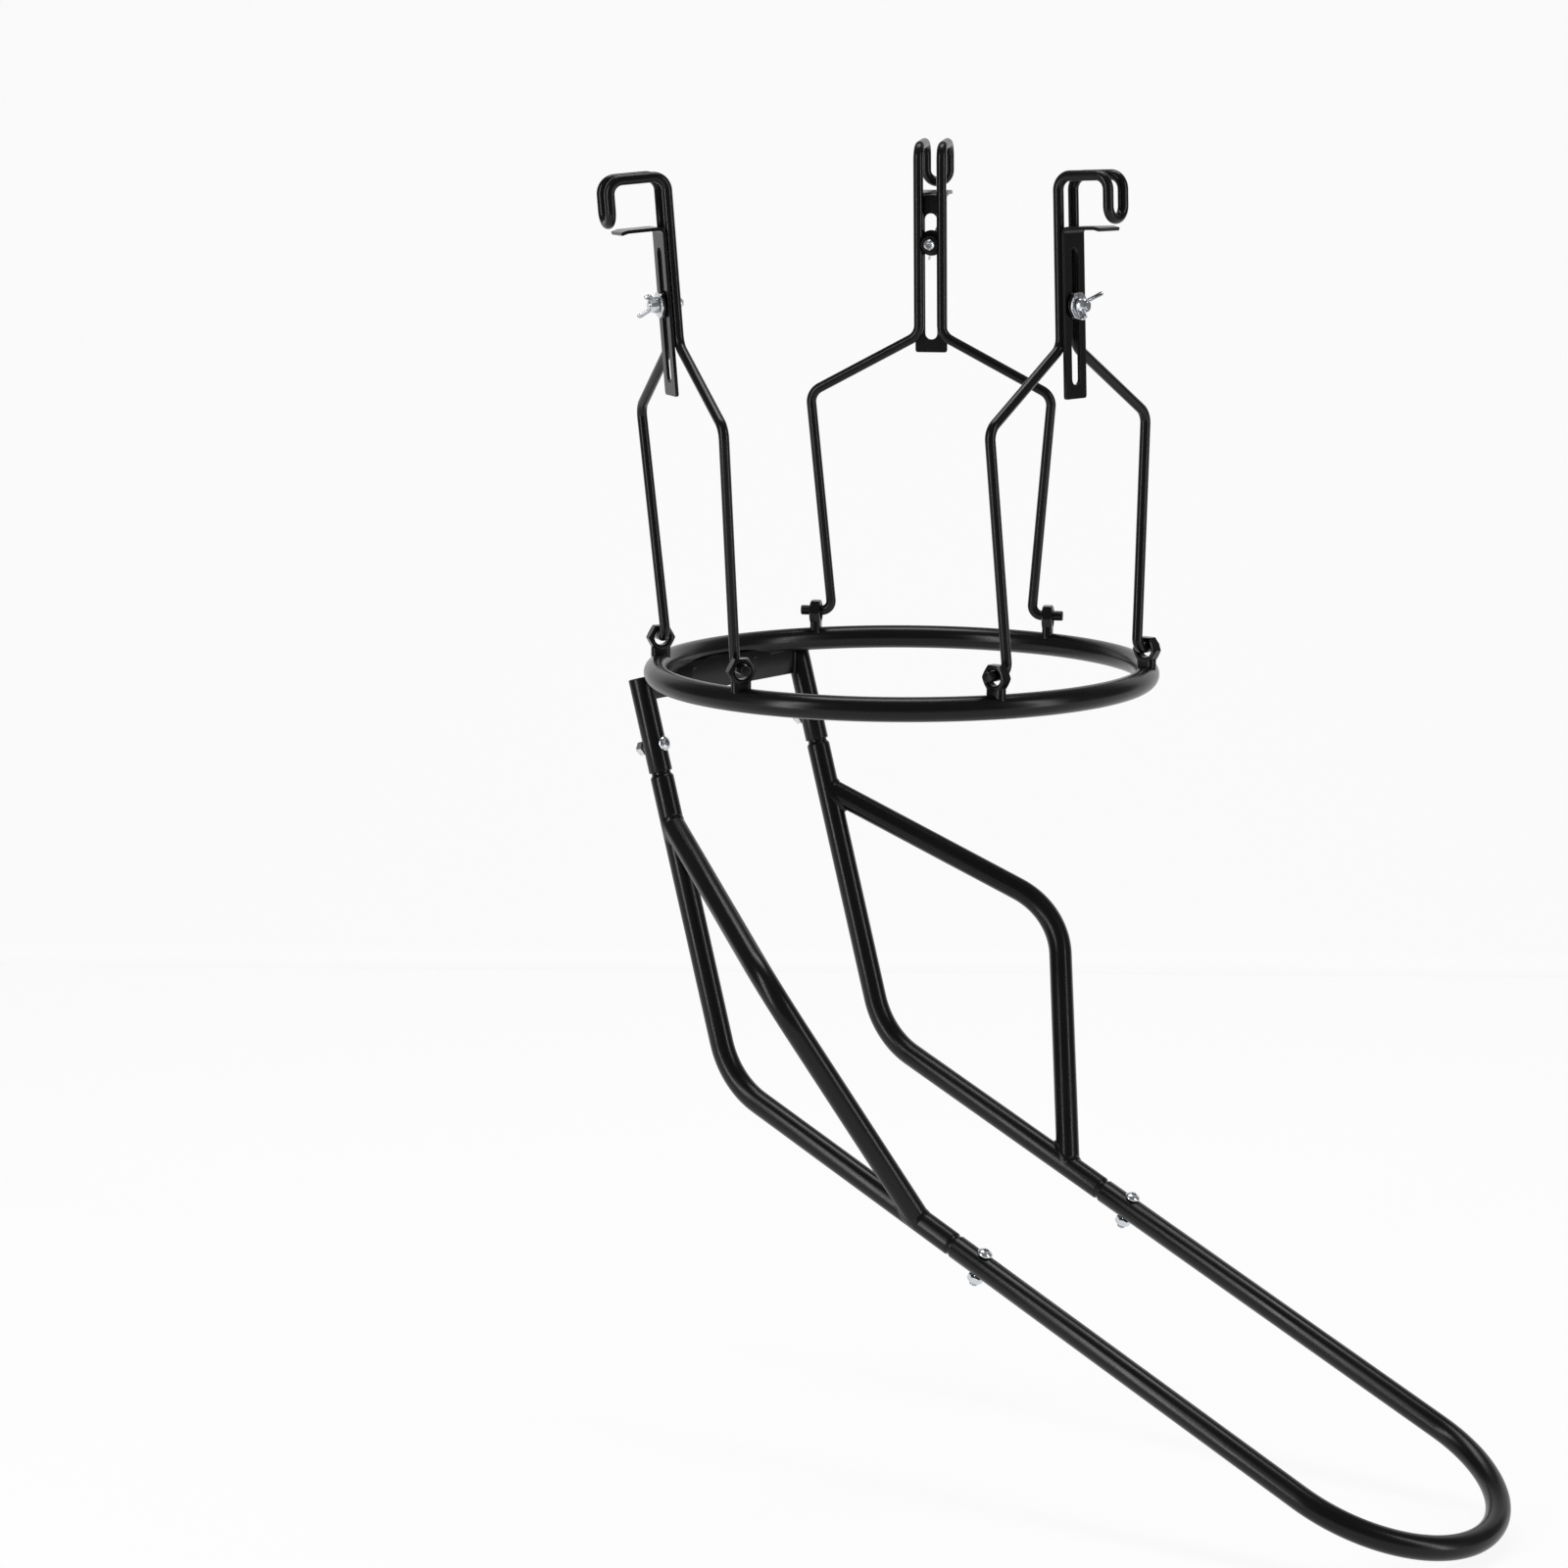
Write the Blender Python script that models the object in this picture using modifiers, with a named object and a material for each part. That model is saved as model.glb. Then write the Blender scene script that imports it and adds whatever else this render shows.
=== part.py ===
"""Return chute frame: a steel ring on three hinged hook hangers, with a two-rail chute.

Metres, +Z up. The origin is the centre of the ring, in the plane of the ring tube's centre line.
The hangers stand up from the ring and hook over a round bar above it. The chute leaves the back
of the ring, drops under it and runs forward and down to a round end.
"""

from math import cos, pi, radians, sin, sqrt, tan

import bmesh
import bpy
from mathutils import Matrix, Vector

# Shared sizes
SEAT_GAP = 0.0003
TUBE_RADIUS = 0.007
TUBE_WALL = 0.001
OVERRUN = 0.004

# Ring
RING_RADIUS = 0.144

# Lugs on the ring, two for each hanger
LUG_RISE = 0.0164
LUG_ACROSS_FLATS = 0.0145
LUG_THICKNESS = 0.0065
LUG_HOLE_RADIUS = 0.0045
LUG_POST_WIDTH = 0.0115
LUG_HALF_SPREAD = radians(30.0)

# Hangers, each bent from one wire
HANGER_HEADINGS = {"a": radians(201.7), "b": radians(321.7), "c": radians(81.7)}
HANGER_LEANS = {"a": radians(4.5), "b": radians(-2.0), "c": radians(-4.0)}
WIRE_RADIUS = 0.003
WIRE_END_OVERHANG = 0.006
LEG_CLEARANCE = 0.00375
FOOT_BEND_RADIUS = 0.006
KNEE_FLARE = 0.012
KNEE_RISE = 0.1355
KNEE_BEND_RADIUS = 0.010
FORK_RISES = {"a": 0.1775, "b": 0.1775, "c": 0.1715}
FORK_BEND_RADIUS = 0.010
PRONG_SPREAD = 0.0140
HOOK_RISES = {"a": 0.2725, "b": 0.2725, "c": 0.2845}
HOOK_REACH = 0.034
HOOK_DROP = 0.024
HOOK_BEND_RADIUS = 0.008

# Slotted clamp plate on each hanger
PLATE_THICKNESS = 0.002
PLATE_WIDTH = 0.0194
PLATE_LENGTH = 0.096
PLATE_LIP_DROP = 0.029
PLATE_BEND_RADIUS = 0.003
LIP_HOOK_CLEARANCE = 0.0015
LIP_CURL_LENGTH = 0.004
LIP_CURL_DROP = 0.001
LIP_CURL_RADIUS = 0.006
PLATE_CORNER_RADIUS = 0.0015
SLOT_WIDTH = 0.0073
SLOT_TOP_LAND = 0.012
SLOT_BOTTOM_LAND = 0.0078

# Clamp bolt and what is on it
CLAMP_BOLT_DROPS = {"a": 0.072, "b": 0.072, "c": 0.058}
CLAMP_BOLT_RADIUS = 0.0025
CLAMP_BOLT_STANDOUT = 0.0092
CLAMP_HEAD_RADIUS = 0.0034
CLAMP_HEAD_HEIGHT = 0.0025
INNER_WASHER_RADIUS = 0.005
INNER_WASHER_THICKNESS = 0.001
SPACER_RADIUS = 0.00775
SPACER_THICKNESS = 0.0015
OUTER_WASHER_RADIUS = 0.0075
OUTER_WASHER_THICKNESS = 0.001
WING_SPAN = 0.023
WING_HEIGHT = 0.0105
WING_THICKNESS = 0.0016
WING_HUB_RADIUS = 0.0046
WING_HUB_HEIGHT = 0.005
WING_TURNS = {"a": radians(125.0), "b": radians(127.0), "c": radians(15.0)}

# Chute, symmetric about a vertical plane through the ring's centre
CHUTE_HEADING = radians(-36.8)
RAIL_SPREAD = 0.150
UPPER_TILT = radians(16.3)
LOWER_TILT = radians(67.0)
RAIL_BEND_DROP = 0.244
RAIL_BEND_RADIUS = 0.050
SOCKET_TOP_DROP = 0.0085
SOCKET_LENGTH = 0.057
BACK_BAR_THICKNESS = 0.003
BACK_BAR_HEIGHT = 0.0147
BACK_BAR_CREST = 0.004
BACK_BAR_CREST_HALF_LENGTH = 0.046

# Where one tube plugs into the next
PLUG_LENGTH = 0.045
NECK_SHOW = 0.001
NECK_TAPER = 0.0025
BORE_SPARE = 0.003
UPPER_BOLT_DROP = 0.041
MOUTH_DISTANCE = 0.181
LOWER_BOLT_INSET = 0.019
JOINT_BOLT_RADIUS = 0.0025
JOINT_HEAD_RADIUS = 0.0045
JOINT_HEAD_HEIGHT = 0.0027
JOINT_NUT_ACROSS_FLATS = 0.008
JOINT_NUT_HEIGHT = 0.004
JOINT_BOLT_SPARE = 0.002

# Side rails and the round end
SIDE_BRANCH_DROP = 0.088
SIDE_BEND_FORWARD = 0.016
SIDE_BEND_HALF_SPREAD = 0.142
SIDE_BEND_DROP = 0.165
SIDE_BEND_RADIUS = 0.048
SIDE_LAND_DISTANCE = 0.1524
LOOP_CENTRE_DISTANCE = 0.4325

# Facets
TUBE_BEVEL_RESOLUTION = 4
WIRE_BEVEL_RESOLUTION = 2
RING_SEGMENTS = 72
RING_SIDES = 14
TURNED_STEPS = 14
BORE_SIDES = 14
ARC_STEP = radians(7.5)
WIRE_ARC_STEP = radians(26.0)
MERGE_DISTANCE = 0.00001

# Derived sizes
bore_radius = TUBE_RADIUS - TUBE_WALL
neck_radius = bore_radius - SEAT_GAP
half_rails = RAIL_SPREAD / 2
hinge_rise = LUG_RISE + LUG_HOLE_RADIUS - WIRE_RADIUS - SEAT_GAP
half_chord = RING_RADIUS * sin(LUG_HALF_SPREAD)
chord_distance = RING_RADIUS * cos(LUG_HALF_SPREAD)
half_feet = half_chord - LUG_THICKNESS / 2 - LEG_CLEARANCE - WIRE_RADIUS
half_knees = half_feet + KNEE_FLARE
half_prongs = PRONG_SPREAD / 2
plate_inner = WIRE_RADIUS + SEAT_GAP
plate_outer = plate_inner + PLATE_THICKNESS

# Chute line, in the chute's own frame: x forward, y sideways, z up
ring_reach = RING_RADIUS + (2 * TUBE_RADIUS + SEAT_GAP) / cos(UPPER_TILT)
socket_back = -sqrt(ring_reach ** 2 - half_rails ** 2)
upper_line = Vector((sin(UPPER_TILT), 0, -cos(UPPER_TILT)))
lower_line = Vector((sin(LOWER_TILT), 0, -cos(LOWER_TILT)))
upper_normal = Vector((cos(UPPER_TILT), 0, sin(UPPER_TILT)))
lower_normal = Vector((cos(LOWER_TILT), 0, sin(LOWER_TILT)))
sideways = Vector((0, 1, 0))
socket_top = Vector((socket_back + SOCKET_TOP_DROP * tan(UPPER_TILT), 0, -SOCKET_TOP_DROP))
rail_vertex = Vector((socket_back + RAIL_BEND_DROP * tan(UPPER_TILT), 0, -RAIL_BEND_DROP))
rail_mouth = rail_vertex + lower_line * MOUTH_DISTANCE
loop_centre = rail_vertex + lower_line * LOOP_CENTRE_DISTANCE


def clear_scene():
    for obj in list(bpy.data.objects):
        bpy.data.objects.remove(obj, do_unlink=True)
    for coll in list(bpy.data.collections):
        bpy.data.collections.remove(coll)


def new_collection(name):
    coll = bpy.data.collections.new(name)
    bpy.context.scene.collection.children.link(coll)
    return coll


def finish_paint(name, finish):
    """A Principled material: black semi-gloss powder coat or bright zinc plate."""
    mat = bpy.data.materials.new(name)
    mat.use_nodes = True
    shader = mat.node_tree.nodes["Principled BSDF"]
    looks = {
        "black": ((0.017, 0.017, 0.019, 1), 0.34, 0),
        "zinc": ((0.72, 0.73, 0.75, 1), 0.3, 1),
    }
    colour, rough, metal = looks[finish]
    shader.inputs["Base Color"].default_value = colour
    shader.inputs["Roughness"].default_value = rough
    shader.inputs["Metallic"].default_value = metal
    return mat


def place(obj, finish=None, parent=None, location=(0, 0, 0), rotation=(0, 0, 0)):
    """Put an object in its collection, under its parent, with its material."""
    for coll in list(obj.users_collection):
        coll.objects.unlink(obj)
    home = parts_collection if finish else cutters_collection
    home.objects.link(obj)
    obj.parent = parent
    obj.location = location
    obj.rotation_euler = rotation
    if finish:
        obj.data.materials.append(finish_paint(obj.name, finish))
    else:
        obj.hide_render = True
        obj.display_type = "WIRE"
    return obj


def pivot(name, location, rotation=(0, 0, 0), parent=None):
    empty = bpy.data.objects.new(name, None)
    empty.empty_display_size = RING_RADIUS / 4
    parts_collection.objects.link(empty)
    empty.parent = parent
    empty.location = location
    empty.rotation_euler = rotation
    return empty


def shade_round(mesh):
    mesh.shade_smooth()
    mesh.set_sharp_from_angle(angle=radians(40.0))


def bent_line(corners, bends, step):
    """Points along straight runs joined by arcs; bends gives the radius at each inner corner."""
    points = [Vector(corners[0])]
    for index in range(1, len(corners) - 1):
        corner = Vector(corners[index])
        back = (Vector(corners[index - 1]) - corner).normalized()
        ahead = (Vector(corners[index + 1]) - corner).normalized()
        turn = pi - back.angle(ahead)
        reach = bends[index - 1] * tan(turn / 2)
        centre = corner + (back + ahead).normalized() * (bends[index - 1] / cos(turn / 2))
        start = corner + back * reach - centre
        axis = start.cross(corner + ahead * reach - centre).normalized()
        count = max(2, round(turn / step))
        for part in range(count + 1):
            point = centre + Matrix.Rotation(turn * part / count, 3, axis) @ start
            if (point - points[-1]).length > MERGE_DISTANCE:
                points.append(point)
    points.append(Vector(corners[-1]))
    return points


def tube_curve(name, points, radius, resolution, widths=None):
    """A round tube or wire along points; widths gives a radius at each point where it varies."""
    curve = bpy.data.curves.new(name, "CURVE")
    curve.dimensions = "3D"
    curve.bevel_depth = radius
    curve.bevel_resolution = resolution
    curve.use_fill_caps = True
    spline = curve.splines.new("POLY")
    spline.points.add(len(points) - 1)
    for index, point in enumerate(points):
        spline.points[index].co = (*point, 1)
        if widths:
            spline.points[index].radius = widths[index] / radius
    spline.use_smooth = True
    return bpy.data.objects.new(name, curve)


def flat_curve(name, outline, half_thickness):
    """A flat piece: a closed outline in the object's XY plane, filled and given its thickness."""
    curve = bpy.data.curves.new(name, "CURVE")
    curve.dimensions = "2D"
    curve.fill_mode = "BOTH"
    curve.extrude = half_thickness
    spline = curve.splines.new("POLY")
    spline.points.add(len(outline) - 1)
    for index, point in enumerate(outline):
        spline.points[index].co = (point[0], point[1], 0, 1)
    spline.use_cyclic_u = True
    return bpy.data.objects.new(name, curve)


def as_mesh(obj):
    """Swap a placed curve object for a mesh object of the same name, place and material."""
    bpy.context.view_layer.update()
    evaluated = obj.evaluated_get(bpy.context.evaluated_depsgraph_get())
    mesh = bpy.data.meshes.new_from_object(evaluated)
    work = bmesh.new()
    work.from_mesh(mesh)
    bmesh.ops.remove_doubles(work, verts=work.verts, dist=MERGE_DISTANCE)
    work.to_mesh(mesh)
    work.free()
    name = obj.name
    homes = list(obj.users_collection)
    world = obj.matrix_world.copy()
    parent = obj.parent
    hidden = obj.hide_render
    bpy.data.objects.remove(obj, do_unlink=True)
    solid = bpy.data.objects.new(name, mesh)
    for coll in homes:
        coll.objects.link(solid)
    solid.parent = parent
    bpy.context.view_layer.update()
    solid.matrix_world = world
    if hidden:
        solid.hide_render = True
        solid.display_type = "WIRE"
    else:
        shade_round(mesh)
    return solid


def turned(name, profile, closed=False, steps=TURNED_STEPS):
    """A turned piece about local Z, from (radius, height) points down its outer side."""
    mesh = bpy.data.meshes.new(name)
    work = bmesh.new()
    verts = [work.verts.new((radius, 0, height)) for radius, height in profile]
    for first, second in zip(verts, verts[1:]):
        work.edges.new((first, second))
    if closed:
        work.edges.new((verts[-1], verts[0]))
    work.to_mesh(mesh)
    work.free()
    obj = bpy.data.objects.new(name, mesh)
    screw = obj.modifiers.new("Turn", "SCREW")
    screw.axis = "Z"
    screw.angle = 2 * pi
    screw.steps = steps
    screw.render_steps = steps
    screw.use_merge_vertices = True
    screw.merge_threshold = MERGE_DISTANCE
    screw.use_smooth_shade = True
    return obj


def ring_profile(inner, outer, top, bottom):
    return [(outer, top), (outer, bottom), (inner, bottom), (inner, top)]


def rod_cutter(name, radius, start, end, parent):
    """A round cutter from one point to another in its parent's frame."""
    axis = Vector(end) - Vector(start)
    mesh = bpy.data.meshes.new(name)
    work = bmesh.new()
    bmesh.ops.create_cone(work, cap_ends=True, segments=BORE_SIDES, radius1=radius,
                          radius2=radius, depth=axis.length)
    work.to_mesh(mesh)
    work.free()
    obj = bpy.data.objects.new(name, mesh)
    turn = axis.to_track_quat("Z", "Y").to_euler()
    return place(obj, None, parent, (Vector(start) + Vector(end)) / 2, turn)


def cut(obj, *cutters):
    for cutter in cutters:
        boolean = obj.modifiers.new("Cut " + cutter.name, "BOOLEAN")
        boolean.operation = "DIFFERENCE"
        boolean.solver = "EXACT"
        boolean.object = cutter


def hex_prism(name, across_flats, height):
    """A hexagonal prism on local Z with its foot at zero and two corners on local X."""
    mesh = bpy.data.meshes.new(name)
    work = bmesh.new()
    corner = across_flats / 2 / cos(pi / 6)
    seat = Matrix.Translation((0, 0, height / 2)) @ Matrix.Rotation(pi / 6, 4, "Z")
    bmesh.ops.create_cone(work, cap_ends=True, segments=6, radius1=corner, radius2=corner,
                          depth=height, matrix=seat)
    work.to_mesh(mesh)
    work.free()
    return bpy.data.objects.new(name, mesh)


def box(name, low, high):
    mesh = bpy.data.meshes.new(name)
    size = Vector(high) - Vector(low)
    middle = (Vector(high) + Vector(low)) / 2
    work = bmesh.new()
    bmesh.ops.create_cube(work, size=1, matrix=Matrix.LocRotScale(middle, None, size))
    work.to_mesh(mesh)
    work.free()
    return bpy.data.objects.new(name, mesh)


def headed_bolt(name, shank_radius, head_radius, head_height, length):
    """A button-head bolt: head above zero, shank below, with a round tool recess."""
    recess_radius = head_radius * 0.45
    recess_floor = head_height * 0.35
    crown_radius = head_radius * 0.66
    crown_edge = head_height * 0.55
    tip_chamfer = shank_radius * 0.2
    return turned(name, [
        (0, recess_floor),
        (recess_radius, recess_floor),
        (recess_radius, head_height),
        (crown_radius, head_height),
        (head_radius, crown_edge),
        (head_radius, 0),
        (shank_radius, 0),
        (shank_radius, tip_chamfer - length),
        (shank_radius - tip_chamfer, -length),
        (0, -length),
    ])


def build_ring():
    bpy.ops.mesh.primitive_torus_add(major_radius=RING_RADIUS, minor_radius=TUBE_RADIUS,
                                     major_segments=RING_SEGMENTS, minor_segments=RING_SIDES)
    ring = bpy.context.object
    ring.name = "ring_tube"
    place(ring, "black")
    shade_round(ring.data)
    bpy.ops.mesh.primitive_torus_add(major_radius=RING_RADIUS,
                                     minor_radius=TUBE_RADIUS + SEAT_GAP,
                                     major_segments=RING_SEGMENTS, minor_segments=RING_SIDES)
    cutter = bpy.context.object
    cutter.name = "ring_seat_cutter"
    place(cutter)
    return cutter


def build_lugs(hanger, ring_cutter):
    """Two lugs: a saddle post on the ring and a pierced hexagon welded on it."""
    heading = HANGER_HEADINGS[hanger]
    post_top = LUG_RISE - LUG_ACROSS_FLATS / 2 - SEAT_GAP
    half_width = LUG_POST_WIDTH / 2
    half_depth = LUG_THICKNESS / 2
    base = pivot("lug_line_" + hanger, (0, 0, 0), (0, 0, heading))
    pin_reach = half_chord + LUG_THICKNESS
    hole = rod_cutter("lug_hole_cutter_" + hanger, LUG_HOLE_RADIUS,
                      (chord_distance, -pin_reach, LUG_RISE),
                      (chord_distance, pin_reach, LUG_RISE), base)
    for number, side in ((1, -1), (2, 1)):
        seat = (chord_distance, side * half_chord, 0)
        post = box("lug_post_%s%d" % (hanger, number),
                   (-half_width, -half_depth, 0), (half_width, half_depth, post_top))
        place(post, "black", base, seat)
        cut(post, ring_cutter)
        lug = hex_prism("lug_%s%d" % (hanger, number), LUG_ACROSS_FLATS, LUG_THICKNESS)
        place(lug, "black", base, (chord_distance, side * half_chord + half_depth, LUG_RISE),
              (pi / 2, 0, 0))
        cut(lug, hole)


def hanger_corners(hanger):
    """One side of the bent wire, from its free end to the bottom of the hook."""
    hook_rise = HOOK_RISES[hanger]
    wire_end = half_chord + LUG_THICKNESS / 2 + WIRE_END_OVERHANG
    side = [
        (0, wire_end, 0),
        (0, half_feet, 0),
        (0, half_knees, KNEE_RISE),
        (0, half_prongs, FORK_RISES[hanger]),
        (0, half_prongs, hook_rise),
        (HOOK_REACH, half_prongs, hook_rise),
        (HOOK_REACH, half_prongs, hook_rise - HOOK_DROP),
    ]
    bends = [FOOT_BEND_RADIUS, KNEE_BEND_RADIUS, FORK_BEND_RADIUS, HOOK_BEND_RADIUS,
             HOOK_BEND_RADIUS, half_prongs]
    other = [(x, -y, z) for x, y, z in reversed(side)]
    return side + other, bends + bends[::-1]


def clamp_plate_profile(hanger):
    """Side outline of the bent plate: x outward from the wires, y up from the hinge."""
    lip_level = HOOK_RISES[hanger] - PLATE_LIP_DROP
    foot_level = lip_level + PLATE_THICKNESS / 2 - PLATE_LENGTH
    lip_tip = HOOK_REACH - WIRE_RADIUS - LIP_HOOK_CLEARANCE
    middle = plate_inner + PLATE_THICKNESS / 2
    corners = [
        (middle, foot_level, 0),
        (middle, lip_level, 0),
        (lip_tip - LIP_CURL_LENGTH, lip_level, 0),
        (lip_tip, lip_level - LIP_CURL_DROP, 0),
    ]
    line = bent_line(corners, [PLATE_BEND_RADIUS, LIP_CURL_RADIUS], WIRE_ARC_STEP)
    left, right = [], []
    for index, point in enumerate(line):
        before = line[max(index - 1, 0)]
        after = line[min(index + 1, len(line) - 1)]
        along = (after - before).normalized()
        across = Vector((-along.y, along.x, 0)) * (PLATE_THICKNESS / 2)
        left.append(point + across)
        right.append(point - across)
    return left + right[::-1], foot_level, lip_level


def slot_outline(low, high, half_width):
    """A slot with round ends, its long way along Y."""
    points = []
    for centre, start in ((high - half_width, 0), (low + half_width, pi)):
        count = 6
        for part in range(count + 1):
            angle = start + pi * part / count
            points.append((half_width * cos(angle), centre + half_width * sin(angle)))
    return points


def build_clamp_plate(hanger, axle):
    outline, foot_level, lip_level = clamp_plate_profile(hanger)
    plate = flat_curve("clamp_plate_" + hanger, outline, PLATE_WIDTH / 2)
    place(plate, "black", axle, (0, 0, 0), (pi / 2, 0, 0))
    plate = as_mesh(plate)
    work = bmesh.new()
    work.from_mesh(plate.data)
    near = SEAT_GAP
    bottom = [edge for edge in work.edges
              if all(abs(vert.co.y - foot_level) < near for vert in edge.verts)
              and all(abs(abs(vert.co.z) - PLATE_WIDTH / 2) < near for vert in edge.verts)
              and abs(edge.verts[0].co.z - edge.verts[1].co.z) < near]
    bmesh.ops.bevel(work, geom=bottom, offset=PLATE_CORNER_RADIUS, segments=3, profile=0.5,
                    affect="EDGES")
    work.to_mesh(plate.data)
    work.free()
    top = lip_level + PLATE_THICKNESS / 2 - SLOT_TOP_LAND
    low = foot_level + SLOT_BOTTOM_LAND
    slot = flat_curve("slot_cutter_" + hanger, slot_outline(low, top, SLOT_WIDTH / 2),
                      plate_outer + OVERRUN)
    place(slot, None, axle, (0, 0, 0), (pi / 2, 0, pi / 2))
    slot = as_mesh(slot)
    cut(plate, slot)


def wing_outline():
    """One wing, in the plane of the bolt axis: x out from the axis, y along it."""
    reach = WING_SPAN / 2
    shares = [(0.12, 0.06), (0.42, 0.10), (0.66, 0.30), (0.90, 0.52), (1.00, 0.70),
              (0.98, 0.88), (0.88, 0.99), (0.74, 0.99), (0.60, 0.84), (0.44, 0.56),
              (0.30, 0.42), (0.12, 0.38)]
    return [(reach * out, WING_HEIGHT * along) for out, along in shares]


def build_wing_nut(hanger, bolt_axis, face):
    """A wing nut: a hub with two wings, joined, then bored for the bolt."""
    turn = pivot("wing_axis_" + hanger, (0, 0, 0), (0, 0, WING_TURNS[hanger]), bolt_axis)
    hub = turned("wing_nut_" + hanger, [
        (0, face + WING_HUB_HEIGHT),
        (WING_HUB_RADIUS * 0.78, face + WING_HUB_HEIGHT),
        (WING_HUB_RADIUS, face + WING_HUB_HEIGHT * 0.4),
        (WING_HUB_RADIUS, face),
        (0, face),
    ])
    place(hub, "zinc", turn)
    for number, flip in ((1, 0), (2, pi)):
        wing = flat_curve("wing_%s%d" % (hanger, number), wing_outline(), WING_THICKNESS / 2)
        place(wing, None, turn, (0, 0, face), (pi / 2, 0, flip))
        wing = as_mesh(wing)
        join = hub.modifiers.new("Wing %d" % number, "BOOLEAN")
        join.operation = "UNION"
        join.solver = "EXACT"
        join.object = wing
    bore = rod_cutter("wing_bore_cutter_" + hanger, CLAMP_BOLT_RADIUS + SEAT_GAP,
                      (0, 0, face - OVERRUN), (0, 0, face + WING_HEIGHT + OVERRUN), turn)
    cut(hub, bore)


def build_clamp_hardware(hanger, axle):
    """Bolt between the prongs, washer inside, spacer, washer and wing nut outside."""
    level = HOOK_RISES[hanger] - CLAMP_BOLT_DROPS[hanger]
    bolt_axis = pivot("bolt_axis_" + hanger, (0, 0, level), (0, pi / 2, 0), axle)
    hole = CLAMP_BOLT_RADIUS + SEAT_GAP
    wedge = half_prongs - INNER_WASHER_RADIUS
    washer_seat = sqrt((WIRE_RADIUS + SEAT_GAP) ** 2 - wedge ** 2)
    washer_top = washer_seat + INNER_WASHER_THICKNESS
    washer = turned("inner_washer_" + hanger,
                    ring_profile(hole, INNER_WASHER_RADIUS, -washer_seat, -washer_top), True)
    place(washer, "black", bolt_axis)
    head_seat = washer_top + SEAT_GAP
    bolt = headed_bolt("clamp_bolt_" + hanger, CLAMP_BOLT_RADIUS, CLAMP_HEAD_RADIUS,
                       CLAMP_HEAD_HEIGHT, head_seat + plate_outer + CLAMP_BOLT_STANDOUT)
    place(bolt, "zinc", bolt_axis, (0, 0, -head_seat), (pi, 0, 0))
    spacer_low = plate_outer + SEAT_GAP
    spacer_top = spacer_low + SPACER_THICKNESS
    spacer = turned("spacer_disc_" + hanger,
                    ring_profile(hole, SPACER_RADIUS, spacer_top, spacer_low), True)
    place(spacer, "black", bolt_axis)
    outer_low = spacer_top + SEAT_GAP
    outer_top = outer_low + OUTER_WASHER_THICKNESS
    outer = turned("outer_washer_" + hanger,
                   ring_profile(hole, OUTER_WASHER_RADIUS, outer_top, outer_low), True)
    place(outer, "zinc", bolt_axis)
    build_wing_nut(hanger, bolt_axis, outer_top + SEAT_GAP)


def build_hanger(hanger):
    heading = HANGER_HEADINGS[hanger]
    seat = (chord_distance * cos(heading), chord_distance * sin(heading), hinge_rise)
    axle = pivot("hinge_" + hanger, seat, (0, HANGER_LEANS[hanger], heading))
    corners, bends = hanger_corners(hanger)
    wire = tube_curve("hanger_wire_" + hanger, bent_line(corners, bends, WIRE_ARC_STEP),
                      WIRE_RADIUS, WIRE_BEVEL_RESOLUTION)
    place(wire, "black", axle)
    build_clamp_plate(hanger, axle)
    build_clamp_hardware(hanger, axle)


def build_back_bar(chute, ring_cutter):
    """Flat bar between the two sockets, its raised middle cut to fit under the ring."""
    top = -TUBE_RADIUS - SEAT_GAP
    low = top - BACK_BAR_HEIGHT
    crest = top + BACK_BAR_CREST
    middle = socket_back - (top + low) / 2 * tan(UPPER_TILT)
    end = half_rails - TUBE_RADIUS - SEAT_GAP
    outline = [(end, low), (end, top), (BACK_BAR_CREST_HALF_LENGTH, top),
               (BACK_BAR_CREST_HALF_LENGTH, crest)]
    outline += [(-across, up) for across, up in reversed(outline)]
    bar = flat_curve("back_bar", outline, BACK_BAR_THICKNESS / 2)
    place(bar, "black", chute, (middle, 0, 0), (pi / 2, 0, pi / 2))
    bar = as_mesh(bar)
    cut(bar, ring_cutter)


def upper_point(distance):
    return socket_top + upper_line * distance


def lower_point(distance):
    return rail_vertex + lower_line * distance


def build_sockets(chute, bolt_holes):
    for side, name in ((-1, "right"), (1, "left")):
        socket = turned("socket_" + name,
                        ring_profile(bore_radius, TUBE_RADIUS, 0, -SOCKET_LENGTH), True)
        place(socket, "black", chute, socket_top + sideways * side * half_rails,
              (0, -UPPER_TILT, 0))
        cut(socket, bolt_holes[side])


def build_main_rails(chute, upper_holes, lower_holes):
    """Each rail: a swaged plug in the socket, one bend, a swaged plug in the end loop."""
    plug_start = SOCKET_LENGTH - PLUG_LENGTH
    neck_end = SOCKET_LENGTH + NECK_SHOW
    full_start = neck_end + NECK_TAPER
    full_end = MOUTH_DISTANCE - NECK_SHOW - NECK_TAPER
    neck_start = MOUTH_DISTANCE - NECK_SHOW
    plug_end = MOUTH_DISTANCE + PLUG_LENGTH
    bend = bent_line([upper_point(full_start), rail_vertex, lower_point(full_end)],
                     [RAIL_BEND_RADIUS], ARC_STEP)
    points = [upper_point(plug_start), upper_point(neck_end)] + bend
    points += [lower_point(neck_start), lower_point(plug_end)]
    widths = [neck_radius] * 2 + [TUBE_RADIUS] * len(bend) + [neck_radius] * 2
    for side, name in ((-1, "right"), (1, "left")):
        rail = tube_curve("main_rail_" + name, points, TUBE_RADIUS, TUBE_BEVEL_RESOLUTION,
                          widths)
        place(rail, "black", chute, sideways * side * half_rails)
        rail = as_mesh(rail)
        cut(rail, upper_holes[side], lower_holes[side])


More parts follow.
